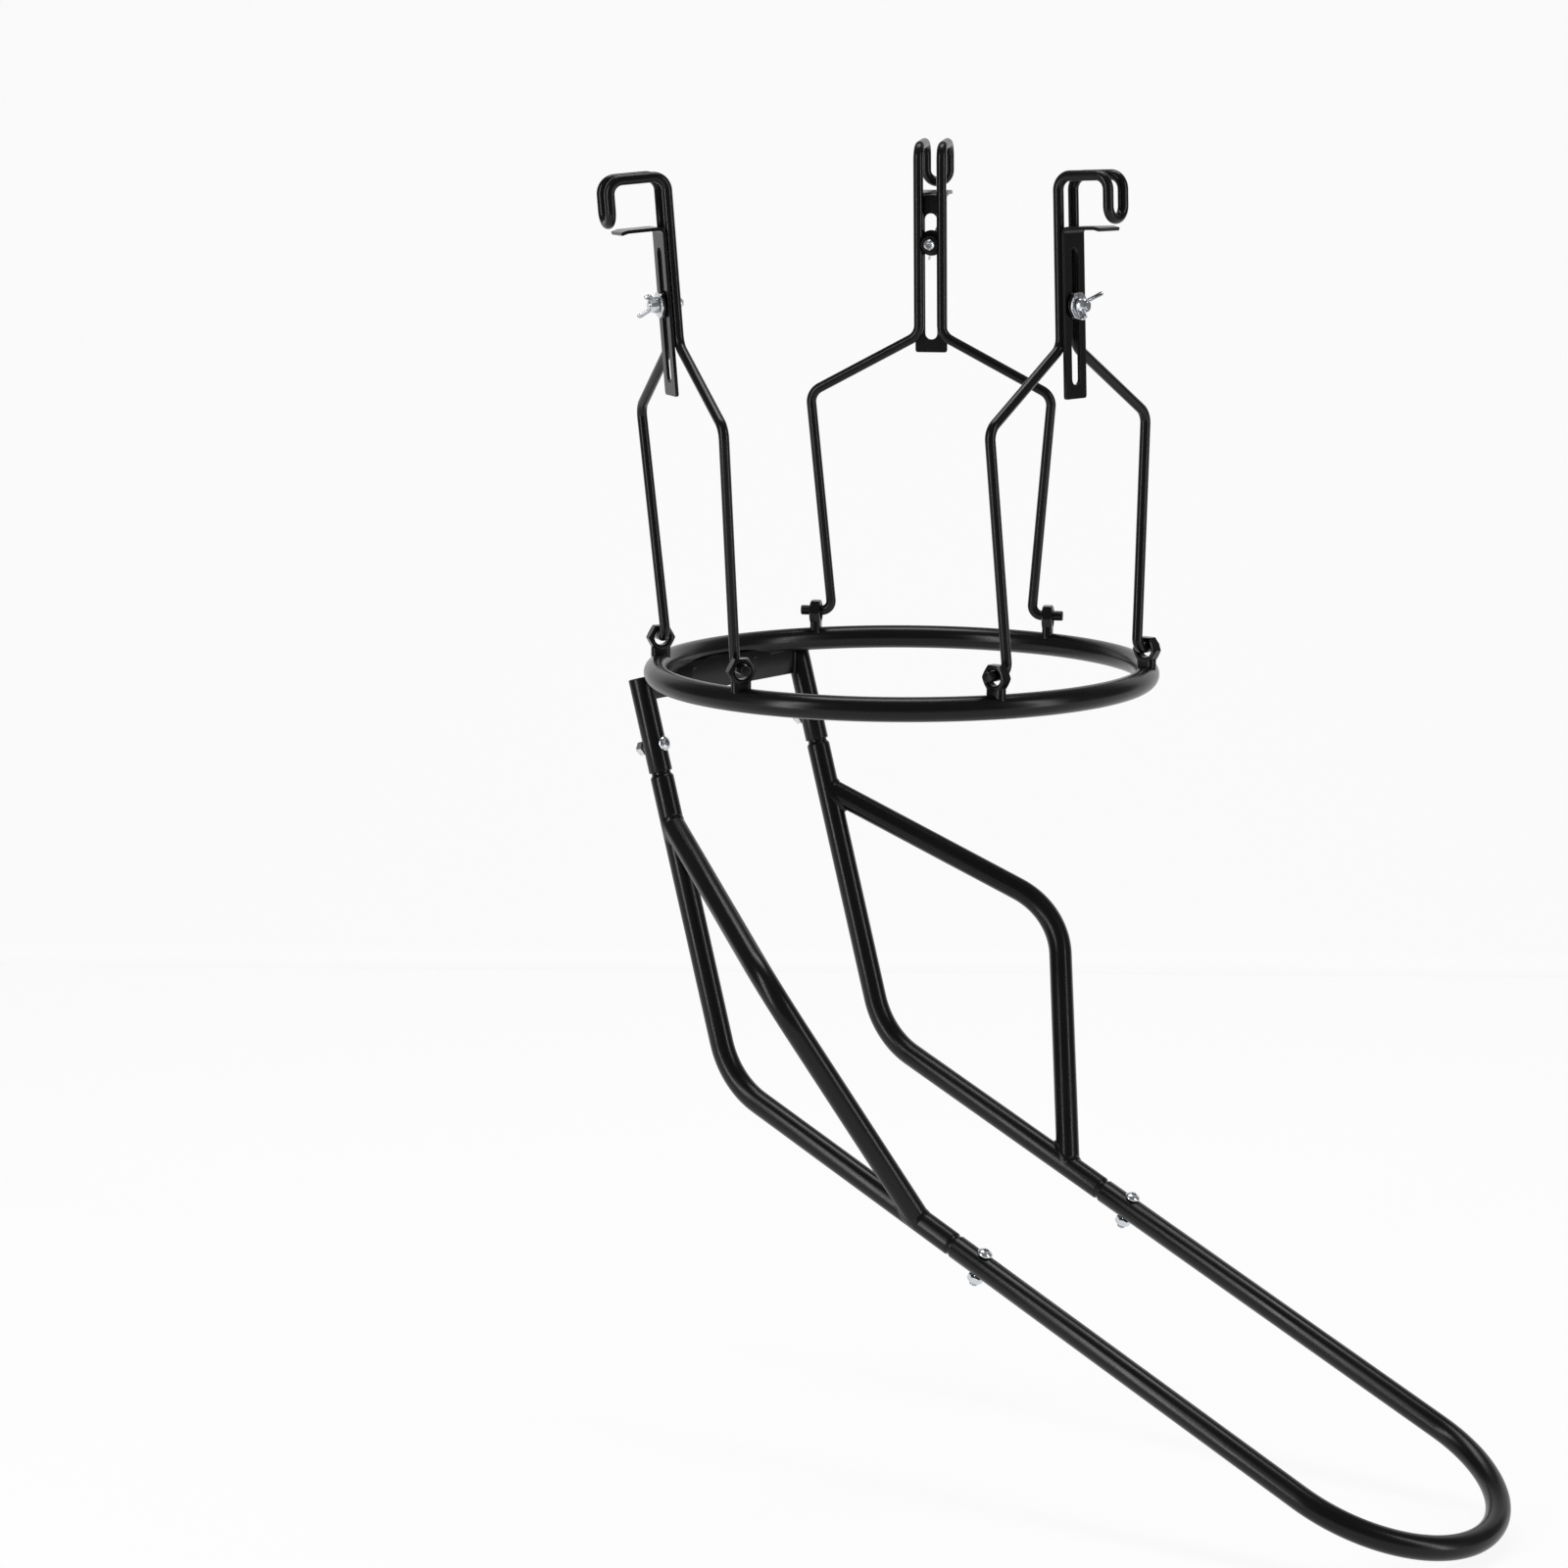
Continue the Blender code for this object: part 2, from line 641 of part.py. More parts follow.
def build_side_rails(chute):
    """Bent guard rails that flare out, with saddle ends on the main rails."""
    reach = TUBE_RADIUS + SEAT_GAP
    for side, name in ((-1, "right"), (1, "left")):
        across = sideways * side
        branch = upper_point(SIDE_BRANCH_DROP) + across * half_rails
        flare = Vector((SIDE_BEND_FORWARD, 0, -SIDE_BEND_DROP)) + across * SIDE_BEND_HALF_SPREAD
        landing = lower_point(SIDE_LAND_DISTANCE) + across * half_rails
        rail = tube_curve("side_rail_" + name,
                          bent_line([branch, flare, landing], [SIDE_BEND_RADIUS], ARC_STEP),
                          TUBE_RADIUS, TUBE_BEVEL_RESOLUTION)
        place(rail, "black", chute)
        rail = as_mesh(rail)
        upper = rod_cutter("branch_cutter_" + name, reach,
                           upper_point(SIDE_BRANCH_DROP - RAIL_BEND_RADIUS) + across * half_rails,
                           upper_point(SIDE_BRANCH_DROP + RAIL_BEND_RADIUS) + across * half_rails,
                           chute)
        lower = rod_cutter("landing_cutter_" + name, reach,
                           lower_point(SIDE_LAND_DISTANCE - RAIL_BEND_RADIUS) + across * half_rails,
                           lower_point(SIDE_LAND_DISTANCE + RAIL_BEND_RADIUS) + across * half_rails,
                           chute)
        cut(rail, upper, lower)


def build_loop(chute, lower_holes):
    """The round end: one bent tube, bored at both mouths for the rail plugs."""
    points = [rail_mouth - sideways * half_rails]
    count = round(pi / ARC_STEP)
    for part in range(count + 1):
        angle = pi * part / count
        points.append(loop_centre + lower_line * half_rails * sin(angle)
                      - sideways * half_rails * cos(angle))
    points.append(rail_mouth + sideways * half_rails)
    loop = tube_curve("end_loop", points, TUBE_RADIUS, TUBE_BEVEL_RESOLUTION)
    place(loop, "black", chute)
    loop = as_mesh(loop)
    depth = PLUG_LENGTH + BORE_SPARE
    for side, name in ((-1, "right"), (1, "left")):
        across = sideways * side * half_rails
        bore = rod_cutter("mouth_bore_cutter_" + name, bore_radius,
                          rail_mouth - lower_line * OVERRUN + across,
                          rail_mouth + lower_line * depth + across, chute)
        cut(loop, bore, lower_holes[side])


def build_joint_fasteners(chute):
    """Bolt and nut for each of the four plugged joints."""
    length = 2 * (TUBE_RADIUS + SEAT_GAP) + SEAT_GAP + JOINT_NUT_HEIGHT + JOINT_BOLT_SPARE
    seat = TUBE_RADIUS + SEAT_GAP
    nut_bore = JOINT_BOLT_RADIUS + SEAT_GAP
    for side, name in ((-1, "right"), (1, "left")):
        across = sideways * side * half_rails
        upper = upper_point(UPPER_BOLT_DROP) + across
        lower = lower_point(MOUTH_DISTANCE + LOWER_BOLT_INSET) + across
        for level, centre, axis in (("upper", upper, upper_normal),
                                    ("lower", lower, lower_normal)):
            turn = axis.to_track_quat("Z", "Y").to_euler()
            line = pivot("joint_axis_%s_%s" % (level, name), centre, turn, chute)
            bolt = headed_bolt("joint_bolt_%s_%s" % (level, name), JOINT_BOLT_RADIUS,
                               JOINT_HEAD_RADIUS, JOINT_HEAD_HEIGHT, length)
            place(bolt, "zinc", line, (0, 0, seat))
            nut = hex_prism("joint_nut_%s_%s" % (level, name), JOINT_NUT_ACROSS_FLATS,
                            JOINT_NUT_HEIGHT)
            place(nut, "zinc", line, (0, 0, -seat - JOINT_NUT_HEIGHT))
            bore = rod_cutter("nut_bore_cutter_%s_%s" % (level, name), nut_bore,
                              (0, 0, -seat + OVERRUN), (0, 0, -seat - JOINT_NUT_HEIGHT - OVERRUN),
                              line)
            cut(nut, bore)


def joint_holes(chute):
    """Cross holes for the joint bolts, one cutter for each joint."""
    reach = TUBE_RADIUS + OVERRUN
    radius = JOINT_BOLT_RADIUS + SEAT_GAP
    upper_holes, lower_holes = {}, {}
    for side, name in ((-1, "right"), (1, "left")):
        across = sideways * side * half_rails
        upper = upper_point(UPPER_BOLT_DROP) + across
        lower = lower_point(MOUTH_DISTANCE + LOWER_BOLT_INSET) + across
        upper_holes[side] = rod_cutter("upper_hole_cutter_" + name, radius,
                                       upper - upper_normal * reach, upper + upper_normal * reach,
                                       chute)
        lower_holes[side] = rod_cutter("lower_hole_cutter_" + name, radius,
                                       lower - lower_normal * reach, lower + lower_normal * reach,
                                       chute)
    return upper_holes, lower_holes


clear_scene()
parts_collection = new_collection("return_chute")
cutters_collection = new_collection("cutters")
ring_seat = build_ring()
for hanger_letter in "abc":
    build_lugs(hanger_letter, ring_seat)
    build_hanger(hanger_letter)
chute_frame = pivot("chute_frame", (0, 0, 0), (0, 0, CHUTE_HEADING))
upper_bolt_holes, lower_bolt_holes = joint_holes(chute_frame)
build_back_bar(chute_frame, ring_seat)
build_sockets(chute_frame, upper_bolt_holes)
build_main_rails(chute_frame, upper_bolt_holes, lower_bolt_holes)
build_side_rails(chute_frame)
build_loop(chute_frame, lower_bolt_holes)
build_joint_fasteners(chute_frame)
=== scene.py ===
"""Dressed model of a return chute frame: a ring on three hook hangers, with a bent tube chute.

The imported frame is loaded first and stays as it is. Each piece below is a fine surface that
stands for one piece of the frame, in metres, in the frame's own place.
"""

from math import ceil, cos, pi, radians, sin, sqrt, tan

import bmesh
import bpy
import numpy as np
from bpy.props import FloatProperty, FloatVectorProperty, PointerProperty
from bpy.types import Operator, Panel, PropertyGroup
from mathutils import Matrix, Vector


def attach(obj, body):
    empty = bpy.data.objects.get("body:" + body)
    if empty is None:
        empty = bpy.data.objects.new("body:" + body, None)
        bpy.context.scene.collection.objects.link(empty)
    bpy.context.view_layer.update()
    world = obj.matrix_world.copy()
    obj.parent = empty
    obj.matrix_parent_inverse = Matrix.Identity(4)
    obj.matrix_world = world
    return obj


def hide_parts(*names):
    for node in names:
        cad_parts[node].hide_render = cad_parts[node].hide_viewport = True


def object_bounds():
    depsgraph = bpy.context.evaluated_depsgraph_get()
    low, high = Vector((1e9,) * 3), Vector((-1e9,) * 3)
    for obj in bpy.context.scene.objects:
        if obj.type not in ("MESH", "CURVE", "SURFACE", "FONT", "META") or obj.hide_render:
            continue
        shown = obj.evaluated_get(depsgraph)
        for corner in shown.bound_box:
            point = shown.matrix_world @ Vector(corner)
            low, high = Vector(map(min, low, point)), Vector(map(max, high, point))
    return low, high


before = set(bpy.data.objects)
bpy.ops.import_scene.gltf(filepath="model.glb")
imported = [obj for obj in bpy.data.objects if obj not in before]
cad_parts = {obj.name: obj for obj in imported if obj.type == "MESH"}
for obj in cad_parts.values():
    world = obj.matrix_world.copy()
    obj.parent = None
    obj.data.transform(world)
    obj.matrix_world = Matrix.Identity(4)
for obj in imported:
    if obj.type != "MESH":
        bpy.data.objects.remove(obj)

bl_info = {
    "name": "Return Chute Frame",
    "version": (1, 0, 0),
    "blender": (4, 5, 0),
    "location": "3D View > Sidebar > Return Chute",
    "description": "Builds the surfaces and finishes of a hook-hung ring with a tube chute",
    "category": "Object",
}

CAD_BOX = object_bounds()
HANGERS = "abc"
SIDES = ((-1, "right"), (1, "left"))

# Sizes that the frame was made with, in metres
SEAT_GAP = 0.0003
RING_RADIUS = 0.144
TUBE_RADIUS = 0.007
WIRE_RADIUS = 0.003
TUBE_WALL = 0.001
LUG_RISE = 0.0164
LUG_ACROSS_FLATS = 0.0145
LUG_THICKNESS = 0.0065
LUG_HOLE_RADIUS = 0.0045
LUG_POST_WIDTH = 0.0115
LUG_HALF_SPREAD = radians(30.0)
HANGER_HEADINGS = {"a": radians(201.7), "b": radians(321.7), "c": radians(81.7)}
HANGER_LEANS = {"a": radians(4.5), "b": radians(-2.0), "c": radians(-4.0)}
WIRE_END_OVERHANG = 0.006
LEG_CLEARANCE = 0.00375
FOOT_BEND_RADIUS = 0.006
KNEE_FLARE = 0.012
KNEE_RISE = 0.1355
KNEE_BEND_RADIUS = 0.010
FORK_RISES = {"a": 0.1775, "b": 0.1775, "c": 0.1715}
FORK_BEND_RADIUS = 0.010
PRONG_SPREAD = 0.0140
HOOK_RISES = {"a": 0.2725, "b": 0.2725, "c": 0.2845}
HOOK_REACH = 0.034
HOOK_DROP = 0.024
HOOK_BEND_RADIUS = 0.008
PLATE_THICKNESS = 0.002
PLATE_WIDTH = 0.0194
PLATE_LENGTH = 0.096
PLATE_LIP_DROP = 0.029
PLATE_BEND_RADIUS = 0.003
LIP_HOOK_CLEARANCE = 0.0015
LIP_CURL_LENGTH = 0.004
LIP_CURL_DROP = 0.001
LIP_CURL_RADIUS = 0.006
PLATE_CORNER_RADIUS = 0.0015
SLOT_WIDTH = 0.0073
SLOT_TOP_LAND = 0.012
SLOT_BOTTOM_LAND = 0.0078
CLAMP_BOLT_DROPS = {"a": 0.072, "b": 0.072, "c": 0.058}
CLAMP_BOLT_RADIUS = 0.0025
CLAMP_BOLT_STANDOUT = 0.0092
CLAMP_HEAD_RADIUS = 0.0034
CLAMP_HEAD_HEIGHT = 0.0025
INNER_WASHER_RADIUS = 0.005
INNER_WASHER_THICKNESS = 0.001
SPACER_RADIUS = 0.00775
SPACER_THICKNESS = 0.0015
OUTER_WASHER_RADIUS = 0.0075
OUTER_WASHER_THICKNESS = 0.001
WING_HUB_RADIUS = 0.0046
WING_HUB_HEIGHT = 0.005
WING_TURNS = {"a": radians(125.0), "b": radians(127.0), "c": radians(15.0)}
CHUTE_HEADING = radians(-36.8)
RAIL_SPREAD = 0.150
UPPER_TILT = radians(16.3)
LOWER_TILT = radians(67.0)
RAIL_BEND_DROP = 0.244
RAIL_BEND_RADIUS = 0.050
SOCKET_TOP_DROP = 0.0085
SOCKET_LENGTH = 0.057
BACK_BAR_THICKNESS = 0.003
BACK_BAR_HEIGHT = 0.0147
BACK_BAR_CREST = 0.004
BACK_BAR_CREST_HALF_LENGTH = 0.046
PLUG_LENGTH = 0.045
NECK_SHOW = 0.001
NECK_TAPER = 0.0025
BORE_SPARE = 0.003
UPPER_BOLT_DROP = 0.041
MOUTH_DISTANCE = 0.181
LOWER_BOLT_INSET = 0.019
JOINT_BOLT_RADIUS = 0.0025
JOINT_HEAD_RADIUS = 0.0045
JOINT_HEAD_HEIGHT = 0.0027
JOINT_NUT_ACROSS_FLATS = 0.008
JOINT_NUT_HEIGHT = 0.004
JOINT_BOLT_SPARE = 0.002
SIDE_BRANCH_DROP = 0.088
SIDE_BEND_FORWARD = 0.016
SIDE_BEND_HALF_SPREAD = 0.142
SIDE_BEND_DROP = 0.165
SIDE_BEND_RADIUS = 0.048
SIDE_LAND_DISTANCE = 0.1524
LOOP_CENTRE_DISTANCE = 0.4325

# Small forms that only this model shows
TUBE_END_ROUND = 0.0006
WIRE_END_ROUND = 0.0007
WASHER_ROUND = 0.0002
SPACER_ROUND = WASHER_ROUND * 3
PLATE_EDGE_ROUND = 0.0004
THREAD_PITCH = 0.0008
THREAD_DEPTH = 0.0004
NUT_FACE = 0.93
NUT_LEAD = 0.36
NUT_CHAMFER = radians(30.0)
HEX_KEY = 0.003
DOME_START = radians(12)
DOME_STOP = radians(78)
DOME_FOOT = 0.18
SOCKET_RIM = 0.66
SOCKET_LEAD = 0.05
SOCKET_FLOOR = 0.14
SOCKET_POINT = 0.04

# Wing nuts, a wing by distance out, height, half width and half thickness
WING_STATIONS = (
    (0.0008, 0.0022, 0.0019, 0.00085),
    (0.0032, 0.0026, 0.0021, 0.00085),
    (0.0058, 0.0041, 0.0018, 0.00075),
    (0.0083, 0.0064, 0.0019, 0.00075),
    (0.0101, 0.0081, 0.0022, 0.0008),
    (0.0112, 0.0090, 0.0015, 0.0007),
    (0.0115, 0.0093, 0.0000, 0.0000),
)
WING_ROUNDNESS = 0.8
HUB_FOOT = 0.95
HUB_WAIST = ((1, 0.3), (0.97, 0.45), (0.9, 0.65), (0.82, 0.85))
HUB_RIM = (0.76, 0.72)
HUB_LEAD = 0.0003
HUB_EDGE = 0.0002

# Mitres, slots, welds, lugs and the back bar
MITRE_SLACK = 0.00005
MITRE_SINK = 0.0002
MITRE_STANDOFF = 0.001
SLOT_MARGIN = 0.004
WELD_LEG = 0.0018
WELD_SWELL = 0.1
WELD_TOE_SINK = 0.1
WELD_ROOT_SINK = 0.35
LUG_FILLET = 0.0007
LUG_CORNER = 0.0025
LUG_SHOULDER = 0.001
SHOULDER_STRETCH = 1.3
BAR_EDGE_ROUND = 0.0004
BAR_WELD_RADIUS = 0.0013
TACK_RADIUS = 0.0011
TACK_HALF_LENGTH = 0.002
TACK_HALF_SPREAD = 0.029
SEAM_RADIUS = 0.0016
SEAM_START = 0.043
SEAM_END = 0.062
WELD_PITCH = 0.0018
WELD_RIPPLE = 0.02

# Fineness of the surfaces
TUBE_SIDES = 48
WIRE_SIDES = 28
RING_STATIONS = 320
BEND_STEP = radians(3.0)
TURNED_SIDES = 60
NUT_SIDES = 72
THREAD_ROWS = 8
BEAD_SIDES = 14
BEAD_STATIONS = 120
BAR_STATIONS = 181
WING_ROWS = 40
PLATE_COLUMNS = 13
PLATE_SIDE_ROWS = 9
MERGE_DISTANCE = 0.000002
SHARP_ANGLE = radians(32.0)

# Coats, the sizes of their grains in millimetres
POWDER_PEEL = 1.5
POWDER_GRIT = 0.45
POWDER_DRIFT = 35
ZINC_BLOOM = 2
TURNING_STEP = 0.25

# Camera, worked out from the ring, hangers and tubes in the photograph
CAMERA_PLACE = (0.00875, -2.3995, 0.36108)
CAMERA_TURN = (radians(90 - 10.13), 0.0, radians(1.85))
CAMERA_LENS = 94.86
SENSOR_WIDTH = 36.0

# Studio, the lamps by name, place, size and watts
FLOOR_GAP = 0.004
SWEEP_FRONT = 1.9
SWEEP_BACK = 2.6
SWEEP_BEND = 1.4
SWEEP_WALL = 1.0
SWEEP_HALF_WIDTH = 3.2
WORLD_STRENGTH = 0.2
PAPER_GLOW = 1.04
PAPER_SHARE = 0.86
LAMPS = (
    ("left_strip", (-1.5, -1.25, 0.35), (0.2, 1.9), 19),
    ("right_strip", (1.75, -0.85, 0.35), (0.18, 1.9), 13),
    ("top_softbox", (0.0, 0.35, 1.9), (1.4, 0.7), 18),
)


def linear_colour(hex_code):
    """sRGB hex to linear light: c / 12.92 up to 0.04045, else ((c + 0.055) / 1.055) ^ 2.4."""
    codes = np.array([int(hex_code[start:start + 2], 16) for start in (1, 3, 5)]) / 255
    dark = codes / 12.92
    light = ((codes + 0.055) / 1.055) ** 2.4
    return tuple(float(value) for value in np.where(codes <= 0.04045, dark, light))


class ChuteSizes(PropertyGroup):
    """Main sizes of the tubes, wires and welds."""
    ring_radius: FloatProperty(
        name="Ring radius", description="From the centre to the middle of the ring's tube",
        default=RING_RADIUS, unit="LENGTH")
    tube_radius: FloatProperty(
        name="Tube radius", description="Outer radius of the ring and the chute's tubes",
        default=TUBE_RADIUS, unit="LENGTH")
    wire_radius: FloatProperty(
        name="Wire radius", description="Radius of the hangers' wire", default=WIRE_RADIUS,
        unit="LENGTH")
    weld_leg: FloatProperty(
        name="Weld leg", description="Reach of a weld along each of the two tubes it joins",
        default=WELD_LEG, unit="LENGTH")


class ChuteFinishes(PropertyGroup):
    """Colours and gloss of the coats and of the studio."""
    powder_colour: FloatVectorProperty(
        name="Powder coat", description="Colour of the baked powder coat", size=3,
        subtype="COLOR", min=0, max=1, default=linear_colour("#0b0b0c"))
    powder_roughness: FloatProperty(
        name="Powder roughness", description="Roughness of the baked powder coat",
        subtype="FACTOR", min=0, max=1, default=0.25)
    zinc_colour: FloatVectorProperty(
        name="Zinc plate", description="Colour of the bright zinc plate", size=3,
        subtype="COLOR", min=0, max=1, default=linear_colour("#d3d6da"))
    zinc_roughness: FloatProperty(
        name="Zinc roughness", description="Roughness of the bright zinc plate",
        subtype="FACTOR", min=0, max=1, default=0.2)
    floor_colour: FloatVectorProperty(
        name="Studio floor", description="Colour of the floor and backdrop", size=3,
        subtype="COLOR", min=0, max=1, default=linear_colour("#f1f1f1"))


# Plain vector work on whole arrays

def unit(vectors):
    """Each vector over its own length."""
    vectors = np.asarray(vectors, float)
    return vectors / np.linalg.norm(vectors, axis=-1, keepdims=True)


def turn_matrix(axis, angle):
    """Matrix for a turn about an axis: cos I + sin K + (1 - cos) a a^T."""
    x, y, z = unit(axis)
    cross = np.array([[0, -z, y], [z, 0, -x], [-y, x, 0]])
    outer = np.outer((x, y, z), (x, y, z))
    return cos(angle) * np.eye(3) + sin(angle) * cross + (1 - cos(angle)) * outer


def turned_by(vector, axis, angles):
    """One vector turned about an axis by each angle: cos v + sin (a x v) + (1 - cos)(a.v) a."""
    vector = np.asarray(vector, float)
    across = np.cross(axis, vector)
    along = axis * (axis @ vector)
    turn = np.asarray(angles)[:, None]
    return np.cos(turn) * (vector - along) + np.sin(turn) * across + along


def whole_turn(count):
    """Even angles round a circle, the last one step short of the first."""
    return np.linspace(0, 2 * pi, count, endpoint=False)


def quarter(count=5):
    """Angles from zero to a right angle."""
    return np.linspace(0, pi / 2, count)


def square_to(vectors, axis):
    """Vectors with their part along one axis taken off: v - (v.a) a."""
    return vectors - (vectors @ axis)[:, None] * axis


def lengths_along(points):
    """Distance along a line to each of its points: the running sum of |p(i) - p(i - 1)|."""
    return np.concatenate([[0], np.cumsum(np.linalg.norm(np.diff(points, axis=0), axis=1))])


def columns_of(*parts):
    """Rows of points from a column for each way; a plain number fills its column."""
    return np.column_stack(np.broadcast_arrays(*parts))


def placed(points, seat):
    """Local points to the row frame: origin + x * first axis + y * second + z * third."""
    origin, basis = seat
    return origin + points @ basis.T


def moved_seat(seat, offset, basis=None):
    """A seat moved along its own axes, and turned where a basis is given."""
    origin, axes = seat
    offset = np.asarray(offset, float)
    turned = axes if basis is None else axes @ basis
    return origin + axes @ offset, turned


def smooth_through(values, count):
    """Rows of values joined by a Catmull-Rom spline, read at count even places.

    Between rows b and c, with a before and d after: b + t (c - a) / 2 + t^2 (a - 2.5 b + 2 c
    - d / 2) + t^3 (1.5 (b - c) + (d - a) / 2).
    """
    rows = np.asarray(values, float)
    rows = np.vstack([2 * rows[0] - rows[1], rows, 2 * rows[-1] - rows[-2]])
    place = np.linspace(0, len(rows) - 3, count)
    first = np.minimum(place.astype(int), len(rows) - 4)
    share = (place - first)[:, None]
    a, b, c, d = (rows[first + step] for step in range(4))
    slope = (c - a) / 2
    square = a - 2.5 * b + 2 * c - d / 2
    cube = 1.5 * (b - c) + (d - a) / 2
    return b + share * (slope + share * (square + share * cube))


# Meshes from grids

def grid_quads(rows, columns, wrap_rows, wrap_columns):
    """Corners (i, j), (i + 1, j), (i + 1, j + 1), (i, j + 1), taken round where a way wraps."""
    i = np.arange(rows if wrap_rows else rows - 1)[:, None]
    j = np.arange(columns if wrap_columns else columns - 1)[None, :]
    below = (i + 1) % rows
    beside = (j + 1) % columns
    corners = [i * columns + j, below * columns + j, below * columns + beside,
               i * columns + beside]
    return np.stack(np.broadcast_arrays(*corners), axis=-1).reshape(-1, 4)


def run_along(grid):
    """Distance along the rows, from the first: the running sum of |row(i) - row(i - 1)|."""
    steps = np.linalg.norm(np.diff(grid, axis=0), axis=-1)
    return np.vstack([np.zeros(grid.shape[1]), np.cumsum(steps, axis=0)])


def mesh_from_grids(name, grids):
    """One mesh of closed shells, each a grid of points with its two wraps."""
    points, quads, runs, start = [], [], [], 0
    for grid, wrap_rows, wrap_columns in grids:
        rows, columns = grid.shape[:2]
        points.append(grid.reshape(-1, 3))
        runs.append(run_along(grid).ravel())
        quads.append(grid_quads(rows, columns, wrap_rows, wrap_columns) + start)
        start += rows * columns
    points, quads, runs = np.vstack(points), np.vstack(quads), np.concatenate(runs)
    mesh = bpy.data.meshes.new(name)
    mesh.vertices.add(len(points))
    mesh.vertices.foreach_set("co", points.ravel())
    mesh.loops.add(quads.size)
    mesh.loops.foreach_set("vertex_index", quads.ravel())
    mesh.polygons.add(len(quads))
    mesh.polygons.foreach_set("loop_start", np.arange(0, quads.size, 4))
    mesh.update(calc_edges=True)
    run = mesh.attributes.new("run", "FLOAT", "POINT")
    run.data.foreach_set("value", runs.astype(np.float32))
    return mesh


def tidy_mesh(mesh):
    """Poles and seams merged, faces turned outwards, shading smooth except at sharp edges."""
    work = bmesh.new()
    work.from_mesh(mesh)
    bmesh.ops.remove_doubles(work, verts=work.verts, dist=MERGE_DISTANCE)
    bmesh.ops.dissolve_degenerate(work, edges=work.edges, dist=MERGE_DISTANCE)
    bmesh.ops.recalc_face_normals(work, faces=work.faces)
    work.to_mesh(mesh)
    work.free()
    mesh.shade_smooth()
    mesh.set_sharp_from_angle(angle=SHARP_ANGLE)


def put_in_scene(name, data):
    """A new object of the scene that holds a mesh, lamp or camera."""
    item = bpy.data.objects.new(name, data)
    bpy.context.scene.collection.objects.link(item)
    return item


def add_piece(slot, body, ending, grids, *nodes):
    """A finished piece in the scene: it rides on its body and stands for its nodes."""
    name = "%s_%s" % (nodes[0], ending)
    mesh = mesh_from_grids(name, grids)
    tidy_mesh(mesh)
    piece = put_in_scene(name, mesh)
    mesh.materials.append(slot_finish(slot))
    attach(piece, body)
    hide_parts(*nodes)
    return piece


# Shapes

def bent_path(corners, bends, step=BEND_STEP):
    """Centre line of a bent tube: straight runs, and an arc tangent to both at each corner.

    Gives points, the way ahead, and one way across that is carried round each bend untwisted.
    """
    corners = np.asarray(corners, float)
    ways = unit(np.diff(corners, axis=0))
    spare = np.eye(3)[np.argmin(np.abs(ways[0]))]
    across = unit(np.cross(ways[0], spare))
    points, aheads, acrosses = [corners[:1]], [ways[:1]], [across[None]]
    for index, bend in enumerate(bends):
        before, after = ways[index], ways[index + 1]
        axis = np.cross(before, after)
        turn = np.arctan2(np.linalg.norm(axis), before @ after)
        axis = unit(axis)
        start = corners[index + 1] - before * bend * tan(turn / 2)
        centre = start + np.cross(axis, before) * bend
        angles = np.linspace(0, turn, max(2, ceil(turn / step)) + 1)
        points.append(centre + turned_by(start - centre, axis, angles))
        aheads.append(turned_by(before, axis, angles))
        acrosses.append(turned_by(across, axis, angles))
        across = acrosses[-1][-1]
    points.append(corners[-1:])
    aheads.append(ways[-1:])
    acrosses.append(across[None])
    points, aheads, acrosses = map(np.vstack, (points, aheads, acrosses))
    apart = np.linalg.norm(np.diff(points, axis=0), axis=1) > MERGE_DISTANCE
    keep = np.append(True, apart)
    return points[keep], aheads[keep], acrosses[keep]


def round_section(points, aheads, acrosses, radii, sides):
    """Circles on a path: p(i) + r(i) (cos t(j) a(i) + sin t(j) b(i)), b square to a and ahead."""
    angles = whole_turn(sides)
    beside = np.cross(aheads, acrosses)
    circle = (np.cos(angles)[None, :, None] * acrosses[:, None, :]
              + np.sin(angles)[None, :, None] * beside[:, None, :])
    return points[:, None, :] + radii[:, None, None] * circle


def cut_end(radius, rounding):
    """End profile (distance in, radius): flat face from the middle, then a rounded rim."""
    angles = quarter()
    rim = columns_of(rounding * (1 - np.cos(angles)),
                     radius - rounding + rounding * np.sin(angles))
    return np.vstack([[0, 0], rim])


def bored_end(radius, bore, depth, rounding):
    """End profile of a bored mouth: floor, bore wall, inner rim, face, outer rim."""
    angles = quarter()
    inner = columns_of(rounding * (1 - np.sin(angles)), bore + rounding * (1 - np.cos(angles)))
    outer = cut_end(radius, rounding)[1:]
    return np.vstack([[depth, 0], [depth, bore], inner, outer])


def swaged_end(radius, neck, length, taper, rounding):
    """End profile of a narrowed plug: flat end, neck, then a half-cosine shoulder."""
    share = np.linspace(0, 1, 9)
    shoulder = columns_of(length + taper * share,
                          neck + (radius - neck) * (1 - np.cos(pi * share)) / 2)
    return np.vstack([cut_end(neck, rounding), shoulder])


def carried_tube(path, radius, sides, end, seat):
    """Round tube along a path, with the same end profile (distance in, radius) at both ends."""
    points, aheads, acrosses = path
    final = len(points) - 1
    pick = np.r_[np.zeros(len(end), int), 1:final, np.full(len(end), final)]
    centres = np.vstack([points[0] + end[:, :1] * aheads[0], points[1:-1],
                         points[-1] - end[::-1, :1] * aheads[-1]])
    radii = np.concatenate([end[:, 1], np.full(final - 1, radius), end[::-1, 1]])
    grid = round_section(centres, aheads[pick], acrosses[pick], radii, sides)
    return placed(grid, seat), False, True


